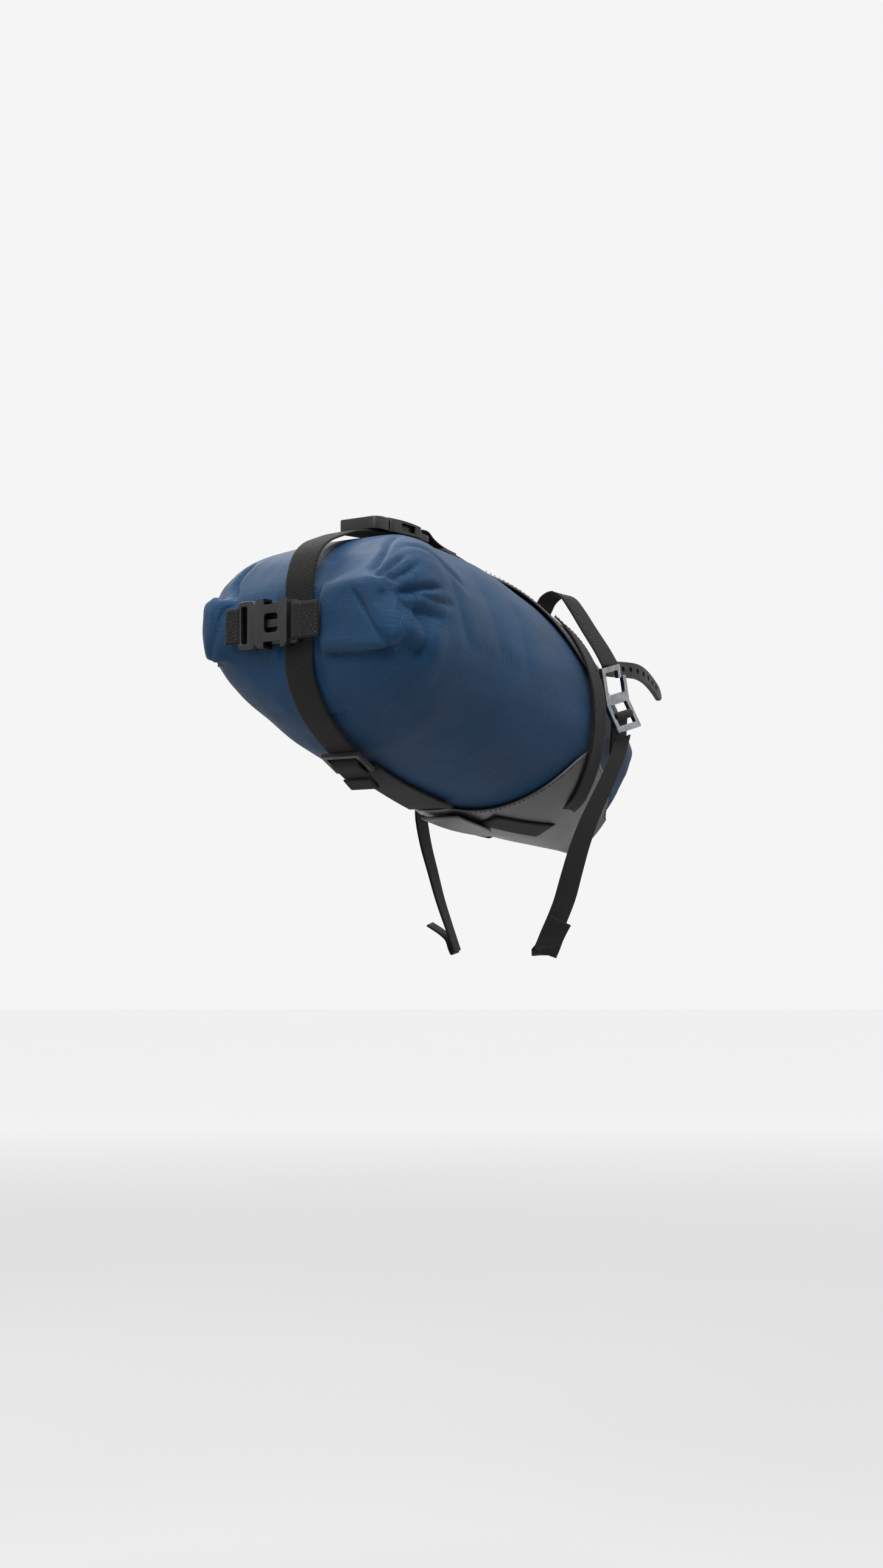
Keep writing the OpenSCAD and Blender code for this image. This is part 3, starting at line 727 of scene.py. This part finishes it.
def settle(co):
    """Keeps the inflated cloth inside its room: tight under the holster, a little proud elsewhere."""
    body = (co[:, 0] > BODY_BACK) & (co[:, 0] < BODY_FRONT)
    held = on_body(co)
    x = held[:, 0]
    angle, share, radius = polar(held)
    hold = covered(x, angle, co[:, 1], co[:, 2])
    ease = hold * hold * (3 - 2 * hold)
    loose = 3.4 + 6 * np.clip((-190 - x) / 30, 0, 1)
    proud = loose * (1 - ease) - 0.3 * ease
    limit = 1 + proud / radius
    scale = np.where(body & (share > limit), limit / np.maximum(share, 1e-6), 1.0)
    middle = section(x)[:, 2]
    co[:, 1] *= scale
    co[:, 2] = middle + (co[:, 2] - middle) * scale
    co[:, 0] = np.minimum(co[:, 0], NOSE)
    # the back strap lies on the rolled top, and the closure lies on the folded ends
    back = (np.abs(co[:, 1]) < 20) & (co[:, 2] < -12) & (co[:, 2] > -78)
    co[:, 0] = np.where(back, np.maximum(co[:, 0], -257.3), co[:, 0])
    co[:, 0] = np.maximum(co[:, 0], -268.3)
    # the clip and its webbing slide over this strip as the closure opens
    slid_over = (co[:, 1] > 20) & (co[:, 1] < 72) & (np.abs(co[:, 2] - ROLL_Z) < 17)
    co[:, 0] = np.where(slid_over, np.maximum(co[:, 0], np.where(co[:, 1] < 60, -260.6, -267.9)), co[:, 0])
    return co


def crease(co, normal):
    """Presses folds in along listed lines, with a soft roll on each side of each."""
    push = np.zeros(len(co))
    for line, depth, width in CREASES:
        route = []
        for p in route_of(line, 5):
            gap = np.linalg.norm(co - np.array(p), axis=1)
            near = np.argsort(gap)[:6]
            route.append(co[near].mean(0))
        total = len(route) - 1
        best = np.full(len(co), 1e9)
        place = np.zeros(len(co))
        for k in range(total):
            a, b = route[k], route[k + 1]
            run = b - a
            t = np.clip(((co - a) @ run) / max(run @ run, 1e-6), 0, 1)
            d = np.linalg.norm(co - (a + t[:, None] * run), axis=1)
            closer = d < best
            best = np.where(closer, d, best)
            place = np.where(closer, (k + t) / total, place)
        fade = np.clip(np.minimum(place, 1 - place) * 4 + 0.2, 0, 1)
        valley = 0.6 * np.exp(-best / (0.75 * width)) + 0.4 * np.exp(-(best / width) ** 2)
        rolls = 0.16 * np.exp(-((best - 2.2 * width) / (1.2 * width)) ** 2)
        push += depth * fade * (rolls - valley)
    return co + normal * push[:, None]


def coordinates(mesh):
    flat = np.empty(len(mesh.vertices) * 3)
    mesh.vertices.foreach_get("co", flat)
    return flat.reshape(-1, 3)


def normals(mesh):
    flat = np.empty(len(mesh.vertices) * 3, np.float32)
    mesh.vertex_normals.foreach_get("vector", flat)
    return flat.reshape(-1, 3).astype(float)


def put(mesh, co):
    mesh.vertices.foreach_set("co", (co * MM).ravel())
    mesh.update()


def apply_modifiers(piece):
    shaped = bpy.data.meshes.new_from_object(piece.evaluated_get(bpy.context.evaluated_depsgraph_get()))
    piece.modifiers.clear()
    old = piece.data
    piece.data = shaped
    bpy.data.meshes.remove(old)


def bag_shell():
    """The bag, its rolled mouth and its gathered end, as closed shells in one mesh."""
    places = [-258, -256, -254, -252, -249, -246, -242, -238, -234, -230, -217, -204, -190, -176, -164,
              -147, -130, -114, -97, -80, -64, -50, -34, -19, -7, 5, 16, 27, 38, 46, 55, 61]
    rings = [inset_ring(x, BAG_INSET, SOFT_STATIONS) for x in places]
    rings.append([Vector((64.0, p.y * 0.985, -110 + (p.z + 110) * 0.985)) for p in rings[-1]])
    bm = bmesh.new()
    loft(bm, rings)
    bag = finish_piece("dry_bag_cloth", bm, NYLON, None)
    for rings in (rolled_top_rings(), gusset_rings()):
        bm = bmesh.new()
        loft(bm, rings)
        lump = finish_piece("lump", bm, NYLON, None)
        with editing(bag.data) as bm:
            bm.from_mesh(lump.data)
        bpy.data.objects.remove(lump)
    return bag


def fuse(bag):
    """One even skin over the shells, with their joins smoothed, most of all at the rolled end."""
    remesh = bag.modifiers.new("remesh", "REMESH")
    remesh.mode, remesh.voxel_size = "VOXEL", VOXEL * MM
    apply_modifiers(bag)
    with editing(bag.data) as bm:
        behind = [v for v in bm.verts if v.co.x < -0.15]
        for verts, times in ((bm.verts, 2), (behind, 3)):
            for _ in range(times):
                bmesh.ops.smooth_vert(bm, verts=verts, factor=0.5, use_axis_x=True, use_axis_y=True,
                                      use_axis_z=True)


def inflate(bag):
    """Swells the shell as cloth under pressure, and stops each point after the distance SWELL."""
    start = coordinates(bag.data)
    cloth = bag.modifiers.new("cloth", "CLOTH")
    cloth.settings.use_pressure = True
    cloth.settings.uniform_pressure_force = 4.0
    cloth.settings.effector_weights.gravity = 0
    cloth.settings.quality = 5
    cloth.settings.tension_stiffness = cloth.settings.compression_stiffness = 25
    cloth.point_cache.frame_start, cloth.point_cache.frame_end = 1, 20
    for number in range(1, 21):
        bpy.context.scene.frame_set(number)
    apply_modifiers(bag)
    moved = coordinates(bag.data) - start
    far = np.linalg.norm(moved, axis=1, keepdims=True)
    kept = start + moved * np.minimum(1, SWELL * MM / np.maximum(far, 1e-9))
    bag.data.vertices.foreach_set("co", kept.ravel())
    bag.data.update()
    bpy.context.scene.frame_set(1)


def refine(bag):
    """A finer mesh, and twice as fine again at the gathered end, which carries sharp folds."""
    finer = bag.modifiers.new("finer", "SUBSURF")
    finer.levels = finer.render_levels = 1
    apply_modifiers(bag)
    with editing(bag.data) as bm:
        fold_edges = [e for e in bm.edges if max(v.co.x for v in e.verts) < FINE_END * MM]
        bmesh.ops.subdivide_edges(bm, edges=fold_edges, cuts=1, use_grid_fill=True, smooth=0.6)


def slacken(co, normal):
    """Long soft ripples in the free cloth, laid along x so that they read as pulled to the rolled top."""
    held = on_body(co)
    free = 1 - covered(held[:, 0], polar(held)[0], co[:, 1], co[:, 2])
    ripple = np.array([noise.noise(Vector((p[0] / 70, p[1] / 26, p[2] / 26))) + 0.5 * noise.noise(
        Vector((p[0] / 30 + 9, p[1] / 13, p[2] / 13))) for p in co])
    return co + normal * (ripple * free * 0.9)[:, None]


def lay_cloth_uv(mesh, co):
    """UV in millimetres: along the bag and round it, or straight across the flat rolled end."""
    angle = polar(on_body(co))[0]
    layer = mesh.uv_layers.new(name="cloth")
    corners = np.empty(len(mesh.loops), np.int32)
    mesh.loops.foreach_get("vertex_index", corners)
    starts, sizes = np.empty(len(mesh.polygons), np.int32), np.empty(len(mesh.polygons), np.int32)
    mesh.polygons.foreach_get("loop_start", starts)
    mesh.polygons.foreach_get("loop_total", sizes)
    first = np.repeat(angle[corners[starts]], sizes)
    turned = (angle[corners] - first + 180) % 360 - 180 + first
    flat = co[:, 0] < -244
    u = np.where(flat, co[:, 1], co[:, 0])[corners]
    v = np.where(flat[corners], co[corners, 2], turned * ROUND_SCALE)
    layer.data.foreach_set("uv", np.column_stack([u, v]).ravel())


def dry_bag():
    bag = bag_shell()
    fuse(bag)
    inflate(bag)
    put(bag.data, settle(coordinates(bag.data) / MM))
    refine(bag)
    normal = normals(bag.data)
    co = crease(coordinates(bag.data) / MM, normal)
    co = settle(slacken(co, normal))
    put(bag.data, co)
    bag.data.polygons.foreach_set("use_smooth", [True] * len(bag.data.polygons))
    bag.data.materials.clear()
    bag.data.materials.append(NYLON)
    lay_cloth_uv(bag.data, co)
    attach(bag, ROOT)
    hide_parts("dry_bag", "roll_top", "base_panel")


# ---- holster sheets ----

# x, and how many degrees a sheet reaches round the bag to each side of its middle there
CRADLE_REACH = [(-112, 8), (-98, 13), (-84, 23), (-72, 35), (-60, 46), (-48, 56), (-36, 64), (-24, 69),
                (-10, 68), (4, 64), (18, 60), (32, 56), (46, 50), (60, 42)]
YOKE_REACH = [(-122, 11), (-104, 11), (-88, 12), (-76, 16), (-66, 26), (-56, 38), (-46, 52), (-36, 64),
              (-26, 71), (-14, 72), (-2, 68), (10, 58), (20, 46), (28, 34)]


def reach_at(table, x):
    rows = np.array(table, float)
    last = len(rows) - 1
    i = int(np.clip(np.searchsorted(rows[:, 0], x, "right") - 1, 0, last - 1))
    t = (x - rows[i, 0]) / (rows[i + 1, 0] - rows[i, 0])
    return catmull(rows[max(i - 1, 0)], rows[i], rows[i + 1], rows[min(i + 2, last)], t)[1]


def holster_sheet(name, table, middle, slots=()):
    """A sheet laid over the bag: a grid mapped on the skin, slots opened, then given its thickness."""
    x0, x1 = table[0][0], table[-1][0]
    bm = bmesh.new()
    bmesh.ops.create_grid(bm, x_segments=86, y_segments=84, size=1)
    place = {}
    for v in bm.verts:
        x = x0 + (x1 - x0) * (v.co.x + 1) / 2
        a = middle + reach_at(table, x) * v.co.y
        place[v] = (x, a)
        v.co = over(x, a, SHEET_GAP)
    doomed = []
    for face in bm.faces:
        x, a = (sum(place[v][i] for v in face.verts) / len(face.verts) for i in (0, 1))
        if any(abs(x - sx) < hx and abs(a - sa) < ha for sx, hx, sa, ha in slots):
            doomed.append(face)
    bmesh.ops.delete(bm, geom=doomed, context="FACES")
    bmesh.ops.recalc_face_normals(bm, faces=bm.faces)
    middle_point = Vector((-20, 0, -90))
    face = max(bm.faces, key=lambda f: f.calc_area())
    if face.normal.dot(face.calc_center_median() - middle_point) < 0:
        bmesh.ops.reverse_faces(bm, faces=bm.faces)
    sheet = finish_piece(name, bm, LAMINATE, ROOT, [name.split("_")[0]])
    wall = sheet.modifiers.new("wall", "SOLIDIFY")
    wall.thickness, wall.offset, wall.use_even_offset = SHEET * MM, 1.0, True
    edge = sheet.modifiers.new("edge", "BEVEL")
    edge.width, edge.segments, edge.limit_method, edge.angle_limit = 0.0004, 2, "ANGLE", math.radians(50)
    return sheet


# ---- parts taken from the CAD shapes, with their edges rounded ----

def rounded_copy(cad, mat, radius, flow=None):
    """A copy of a CAD node's mesh, merged and bevelled; flow gives a woven part its two directions."""
    bm = bmesh.new()
    bm.from_mesh(frame["nodes"][cad].data)
    bmesh.ops.scale(bm, vec=(1 / MM,) * 3, verts=bm.verts)
    bmesh.ops.remove_doubles(bm, verts=bm.verts, dist=0.002)
    bmesh.ops.dissolve_limit(bm, angle_limit=math.radians(2), verts=bm.verts, edges=bm.edges)
    sharp = [e for e in bm.edges if len(e.link_faces) == 2 and e.calc_face_angle() > math.radians(30)]
    bmesh.ops.bevel(bm, geom=sharp, offset=radius, offset_type="OFFSET", segments=2, profile=0.5,
                    affect="EDGES", clamp_overlap=True, material=-1)
    body = next(b for b, members in frame["record"]["behaviour"]["bodies"].items() if cad in members)
    made = finish_piece(cad + "_shape", bm, mat, body, [cad], smooth=False)
    smooth_by_angle(made, 38)
    if flow:
        layer = made.data.uv_layers.new(name="cloth")
        along, across = (Vector(d).normalized() for d in flow)
        for loop in made.data.loops:
            p = made.data.vertices[loop.vertex_index].co / MM
            layer.data[loop.index].uv = (p.dot(along), p.dot(across))
    return made


def mirrored(points):
    return [Vector((p[0], -p[1], p[2])) for p in points]


# ---- the bag and the sheets ----

dry_bag()

holster_sheet("cradle_sheet", CRADLE_REACH, 270)
holster_sheet("yoke_sheet", YOKE_REACH, 90, [(-101, 2.0, 90, 8.6)])


def along_skin(x, a):
    return (skin(x + 1, a) - skin(x - 1, a)).normalized()


def lying_straps(name, route, sides, width):
    """A strap that lies on the holster, on the right and mirrored on the left."""
    for hand in HANDS:
        if hand == "left":
            route, sides = mirrored(route), mirrored(sides)
        band(f"{name}_{hand}_web", route, [tuple(d) for d in sides], width, ROOT, [f"{name}_{hand}"])


# flank straps come off the yoke, run down over the flank and end at the cradle
FLANK = [(-28 + 0.7 * i, 128 + 4.4 * i) for i in range(25)]
FLANK_LIFT = 3.6
lying_straps("flank_strap",
             [over(x, a, FLANK_LIFT - 2.6 * max(0, i - 22) / 2) for i, (x, a) in enumerate(FLANK)],
             [along_skin(x, a) for x, a in FLANK], NARROW)
# short straps under the belly, from the cradle to the tongue
LOW = [(-10 - 6.5 * i, 248 + 0.9 * i) for i in range(11)]


def low_straps():
    route = [over(x, a, 3.4 - (2.4 if i == 0 else 0)) for i, (x, a) in enumerate(LOW)]
    runs = [run for run, _, _ in frames(route, (0, 1, 0))]
    sides = [outward(x, a).cross(run).normalized() for (x, a), run in zip(LOW, runs)]
    lying_straps("bottom_strap", route, sides, 18.0)


low_straps()

# ---- tongue: the tapered strap sewn under the bag ----


def tongue():
    places = [-192 + 9.7 * i for i in range(9)]
    route = [over(x, 270, 0.8) for x in places]
    band("tongue_web", route, (0, 1, 0), 26.0, ROOT, ["tongue"], thick=1.6,
         taper=[(13 + 0.9 * i) / 13 for i in range(9)])
    outline = [(-104, 17), (-92, 17), (-80, 17), (-68, 16), (-58, 12), (-46, 3)]
    rows = [(-104 + 58 * k / 12) for k in range(13)]
    halves = [np.interp(x, [p[0] for p in outline], [p[1] for p in outline]) for x in rows]
    route = [over(x, 270, 5.0) for x in rows]
    band("tongue_end_sheet", route, (0, 1, 0), 34.0, ROOT, ["tongue_end"], thick=1.6,
         taper=[h / 17 for h in halves], mat=LAMINATE)


tongue()

# ---- the strap round the back ----

REAR = [(-196, -134.5), (-216, -123), (-230, -113), (-243, -101), (-253, -86), (-258.2, -72), (-258.5, -56),
        (-258.5, -20), (-257, -6), (-251, 8), (-241, 17), (-227, 22.8), (-212, 27.6), (-196, 29.7),
        (-166, 30.2)]
rear_route = route_of([(x, 0, z) for x, z in REAR], 5)
band("rear_strap_web", rear_route, (0, 1, 0), WIDE, ROOT, ["rear_strap"], crown=0.25)
TOP = [(-138.5, 37.9), (-132, 37.2), (-125, 32.5), (-114, 28.4), (-100, 25.6)]
top_route = route_of([(x, 0, z) for x, z in TOP], 4)
band("top_strap_web", top_route, (0, 1, 0), 24.0, ROOT, ["top_strap"])

GLIDE = Matrix.Translation((-206, 0, -129.7)) @ Matrix.Rotation(math.radians(30), 4, "Y")
rounded_copy("tri_glide", ACETAL, 0.5)
fold_points = [GLIDE @ Vector(p) for p in ((-4.5, 0, -1.2), (-2.5, 0, -5.2), (2, 0, -6.2), (8, 0, -5.6),
                                         (15, 0, -5.45), (22, 0, -5.45), (24.6, 0, -6.4), (24.6, 0, -8.0),
                                         (21, 0, -8.0), (14, 0, -7.4))]
band("rear_strap_end", route_of(fold_points, 3), (0, 1, 0), WIDE - 0.4, "tri_glide",
     ["rear_strap_fold"], thick=1.3)

# ---- closure of the rolled top ----

for label, body, start, end, lift in (("near", ROOT, -27.0, -3.0, -269.45),
                                      ("far", "closure_clip", 44.5, 57.0, -269.65)):
    steps = 12
    route = [Vector((lift + (0 if 0 < k < steps else 0.2), start + (end - start) * k / steps, ROLL_Z))
             for k in range(steps + 1)]
    band(f"closure_web_{label}", route, (0, 0, 1), WIDE, body, [f"closure_strap_{label}"])

TOP_AT = Matrix.Translation((-181, 0, 31.2))
CLOSURE_AT = (Matrix.Translation((-261.5, 30, ROLL_Z)) @ Matrix.Rotation(math.radians(-90), 4, "Z")
              @ Matrix.Rotation(math.radians(90), 4, "X"))


def box_outline(x0, x1, half):
    return [(x0, -half), (x1, -half), (x1, half), (x0, half)]


def side_pairs(x0, x1, y0, y1, low, high):
    """The same cut-out on both sides of a buckle."""
    return [([(x0, h * y0), (x1, h * y0), (x1, h * y1), (x0, h * y1)], low, high) for h in (1, -1)]


def long_ribs(x0, x1, low, high):
    return [(rounded(x0, x1, y - 3.2, y + 3.2, 1.5), low, high) for y in (-10.2, 0, 10.2)]


def drooped(x, z):
    """The front of the top buckle follows the bag down and gets thinner."""
    share = min(max((x - 16) / 32, 0), 1)
    return -share ** 1.5 * (1.6 + z * 0.35)


moulded("top_socket_shell",
        [(rounded(0, 36, -17, 17, 3.5), 0, 9), (rounded(30, 48, -14.5, 14.5, 4), 0, 6)]
        + long_ribs(0.6, 23, 8.4, 10.3),
        [(box_outline(-2, 27, 15.2), 1.7, 7.3)] + side_pairs(12, 27, 13.5, 19, 1.8, 7.2)
        + [(rounded(38, 45, -12.4, 12.4, 1.2), -2, 12)],
        TOP_AT, ACETAL, ROOT, ["top_socket"], bevel=0.7, bend=(2, 48, drooped))
moulded("top_clip_body",
        [(rounded(-17, -0.4, -17, 17, 3.5), 0, 9), (rounded(-2, 22, -3, 3, 1.2), 2.6, 6.4)]
        + long_ribs(-8.2, -0.9, 8.4, 10.3),
        [(rounded(-14.5, -10, -12.8, 12.8, 1.2), -2, 12)],
        TOP_AT, ACETAL, "top_clip", ["top_clip"], bevel=0.7)
moulded("closure_socket_shell",
        [(rounded(0, 29, -17, 17, 4.5), 0, 9), (rounded(24, 36, -14.8, 14.8, 3), 0, 5.6)],
        [(box_outline(-2, 25, 14.9), 1.7, 7.3)] + side_pairs(8, 23, 12.7, 20, -2, 12)
        + [(rounded(8.5, 21, -6.6, 6.6, 2.5), 5, 12), (rounded(29.5, 34.5, -12.6, 12.6, 1.2), -2, 12)],
        CLOSURE_AT, ACETAL, ROOT, ["closure_socket"], bevel=0.8)
moulded("closure_clip_body",
        [(rounded(-16, -0.4, -16.5, 16.5, 3.5), 0, 8.6), (rounded(-2, 20, -3, 3, 1.2), 2.6, 6.4)],
        [(rounded(-13, -7.5, -12.8, 12.8, 1.2), -2, 12)],
        CLOSURE_AT, ACETAL, "closure_clip", ["closure_clip"], bevel=0.8)
for part in ("top_arm_right", "top_arm_left", "closure_arm_upper", "closure_arm_lower"):
    rounded_copy(part, ACETAL, 0.4)

# ---- straps from the yoke to the hooks, over the saddle rails ----

RAIL = [(-6, -18, -10.8), (-5, -21.5, -4.5), (-3.5, -25, 2), (-2, -32, 5.6), (0, -40, 2.5), (2, -47, -7),
        (4.5, -56, -22), (7, -66, -38), (8, -73.4, -51)]
rail_route = route_of(RAIL, 4)
rail_sides = same_side((1, 0, -0.25), (1, 0, 0.25), len(rail_route))
for hand in HANDS:
    route = rail_route if hand == "right" else mirrored(rail_route)
    band(f"rail_strap_{hand}_web", route, rail_sides, NARROW, ROOT, [f"rail_strap_{hand}"], crown=0.2)
    tilt = math.radians(14)
    across = (math.cos(tilt), 0, math.sin(tilt))
    lean = -0.22 if hand == "right" else 0.22
    down = (-math.sin(tilt), lean, -math.cos(tilt))
    rounded_copy(f"anchor_strap_{hand}", WEBBING, 0.3, flow=(down, across))
    rounded_copy(f"hook_{hand}", STEEL, 0.8)

# ---- sewing ----

SEWN_PROUD = 0.15                            # stitches stand this far off a sheet


def sewn_row(route, sides, offset, lift, start=0, end=None):
    """A row of stitches at an offset across a strap, lifted off its middle line."""
    picked = frames(route, sides)[start:end]
    points = [p + side * offset + face * lift for p, (_, side, face) in zip(route[start:end], picked)]
    return points, [face * math.copysign(1, lift) for _, _, face in picked]


def closure_box(name, corner, length, body):
    """A sewn box with its cross, on closure webbing that faces back."""
    up, left = Vector((0, 0, 21.0)), Vector((0, length, 0))
    p = [Vector(corner), Vector(corner) + up, Vector(corner) + up + left, Vector(corner) + left]
    lines = [(p[0], p[1]), (p[1], p[2]), (p[2], p[3]), (p[3], p[0]), (p[0], p[2]), (p[1], p[3])]
    stitches(name, [(list(line), [Vector((-1, 0, 0))]) for line in lines], body, length=1.9, gap=0.8)


def rail_sewing(hand):
    """Two rows where the strap leaves the yoke, and a zigzag over the rail on the side that is seen."""
    route = rail_route if hand == "right" else mirrored(rail_route)
    lift = 1.1 if hand == "right" else -1.1
    rows = [sewn_row(route, rail_sides, offset, lift, 1, 13) for offset in (-8.3, 8.3)]
    if hand == "right":
        picked = frames(route, rail_sides)[14:28]
        rows.append(([p + side * (-7.4 + 3.0 * (k % 2)) + face * lift for k, (p, (_, side, face)) in
                      enumerate(zip(route[14:28], picked))], [face for _, _, face in picked]))
    stitches(f"rail_sewing_{hand}", rows, ROOT)


def flank_sewing(hand):
    flank = [over(x, a, FLANK_LIFT + 0.95) for x, a in FLANK[:8]]
    ways = [along_skin(x, a) for x, a in FLANK[:8]]
    if hand == "left":
        flank, ways = mirrored(flank), mirrored(ways)
    outs = [(p - Vector((-20, 0, -80))).normalized() for p in flank]
    rows = [([p + w * offset for p, w in zip(flank, ways)], outs) for offset in (-8.2, 8.2)]
    stitches(f"flank_sewing_{hand}", rows, ROOT)


def edge_sewing(name, table, middle, inset, places, lift):
    """Stitches just inside both long edges of a sheet."""
    row = [(x, middle + reach_at(table, x) - inset) for x in places]
    points = [over(x, a, SHEET_GAP + SHEET + SEWN_PROUD + lift(x)) for x, a in row]
    ways = [outward(x, a) for x, a in row]
    stitches(name, [(points, ways), (mirrored(points), mirrored(ways))], ROOT)


def yoke_thread_lift(x):
    """The thread at the back flap stands off the yoke sheet, by up to 1.4 mm at its end."""
    share = min(max((-58 - x) / 46, 0), 1)
    return 3.4 * share * share * (3 - 2 * share)


closure_box("closure_sewing_near", (-270.6, -25.0, -50.5), 14.0, ROOT)
closure_box("closure_sewing_far", (-270.8, 46.5, -50.5), 9.0, "closure_clip")
for hand in HANDS:
    rail_sewing(hand)
    flank_sewing(hand)
edge_sewing("yoke_sewing", YOKE_REACH, 90, 2.2, np.arange(-78, 26, 4.0), yoke_thread_lift)
edge_sewing("cradle_sewing", CRADLE_REACH, 270, 1.8, np.arange(-96, 58, 4.0), lambda x: 0)

# ---- rubber strap for the seat post ----

POST = [(7, -67.6, -51.5), (15, -66.3, -51.2), (26, -64.6, -50.5), (37.3, -63.2, -49.7), (48.7, -62.5, -49.1),
        (60, -61.2, -49), (71.2, -59, -50.1), (82, -56.2, -52.1), (92.5, -53, -54.6), (102.7, -49.6, -57.4),
        (112, -46.4, -60.2), (119, -44, -62.4)]
POST_SIDE = tuple(Vector((0.05, 0.15, 1)).normalized())
HOLE = 2.3


def post_strap(name, points, body, cad, holes):
    route = route_of(points, 4)
    shrink = [1.0] * len(route)
    if holes > 3:
        for k, size in enumerate((0.22, 0.5, 0.72, 0.88)):
            shrink[-1 - k] = size
    side = POST_SIDE if name.endswith("right") else (POST_SIDE[0], -POST_SIDE[1], POST_SIDE[2])
    bm = bmesh.new()
    loft(bm, strip_rings(route, side, 12.5, 3.0, 0.0, shrink))
    strap = finish_piece(name, bm, RUBBER, body, [cad])
    bm = bmesh.new()
    for k in range(2, 2 + holes):
        here = Vector(points[k])
        run = (Vector(points[k + 1]) - Vector(points[k - 1])).normalized()
        up = (Vector(side) - run * run.dot(Vector(side))).normalized()
        turn = Matrix((run, up, run.cross(up))).transposed().to_4x4()
        bmesh.ops.create_cone(bm, cap_ends=True, segments=20, radius1=HOLE, radius2=HOLE, depth=8,
                              matrix=Matrix.Translation(here) @ turn)
    punch = finish_piece("punch", bm, RUBBER, None, smooth=False)
    cut = strap.modifiers.new("holes", "BOOLEAN")
    cut.operation, cut.object, cut.solver = "DIFFERENCE", punch, "EXACT"
    apply_modifiers(strap)
    bpy.data.objects.remove(punch)
    smooth_by_angle(strap, 40)


post_strap("post_strap_right", POST, "post_strap", "post_strap", 8)
post_strap("post_loop_left", mirrored(POST[:5]), ROOT, "post_strap_loop", 1)
rounded_copy("post_strap_stud", RUBBER, 0.3)

for cad in ("base_board", "roll_stiffener"):
    frame["nodes"][cad].data.materials.clear()
    frame["nodes"][cad].data.materials.append(BOARD)
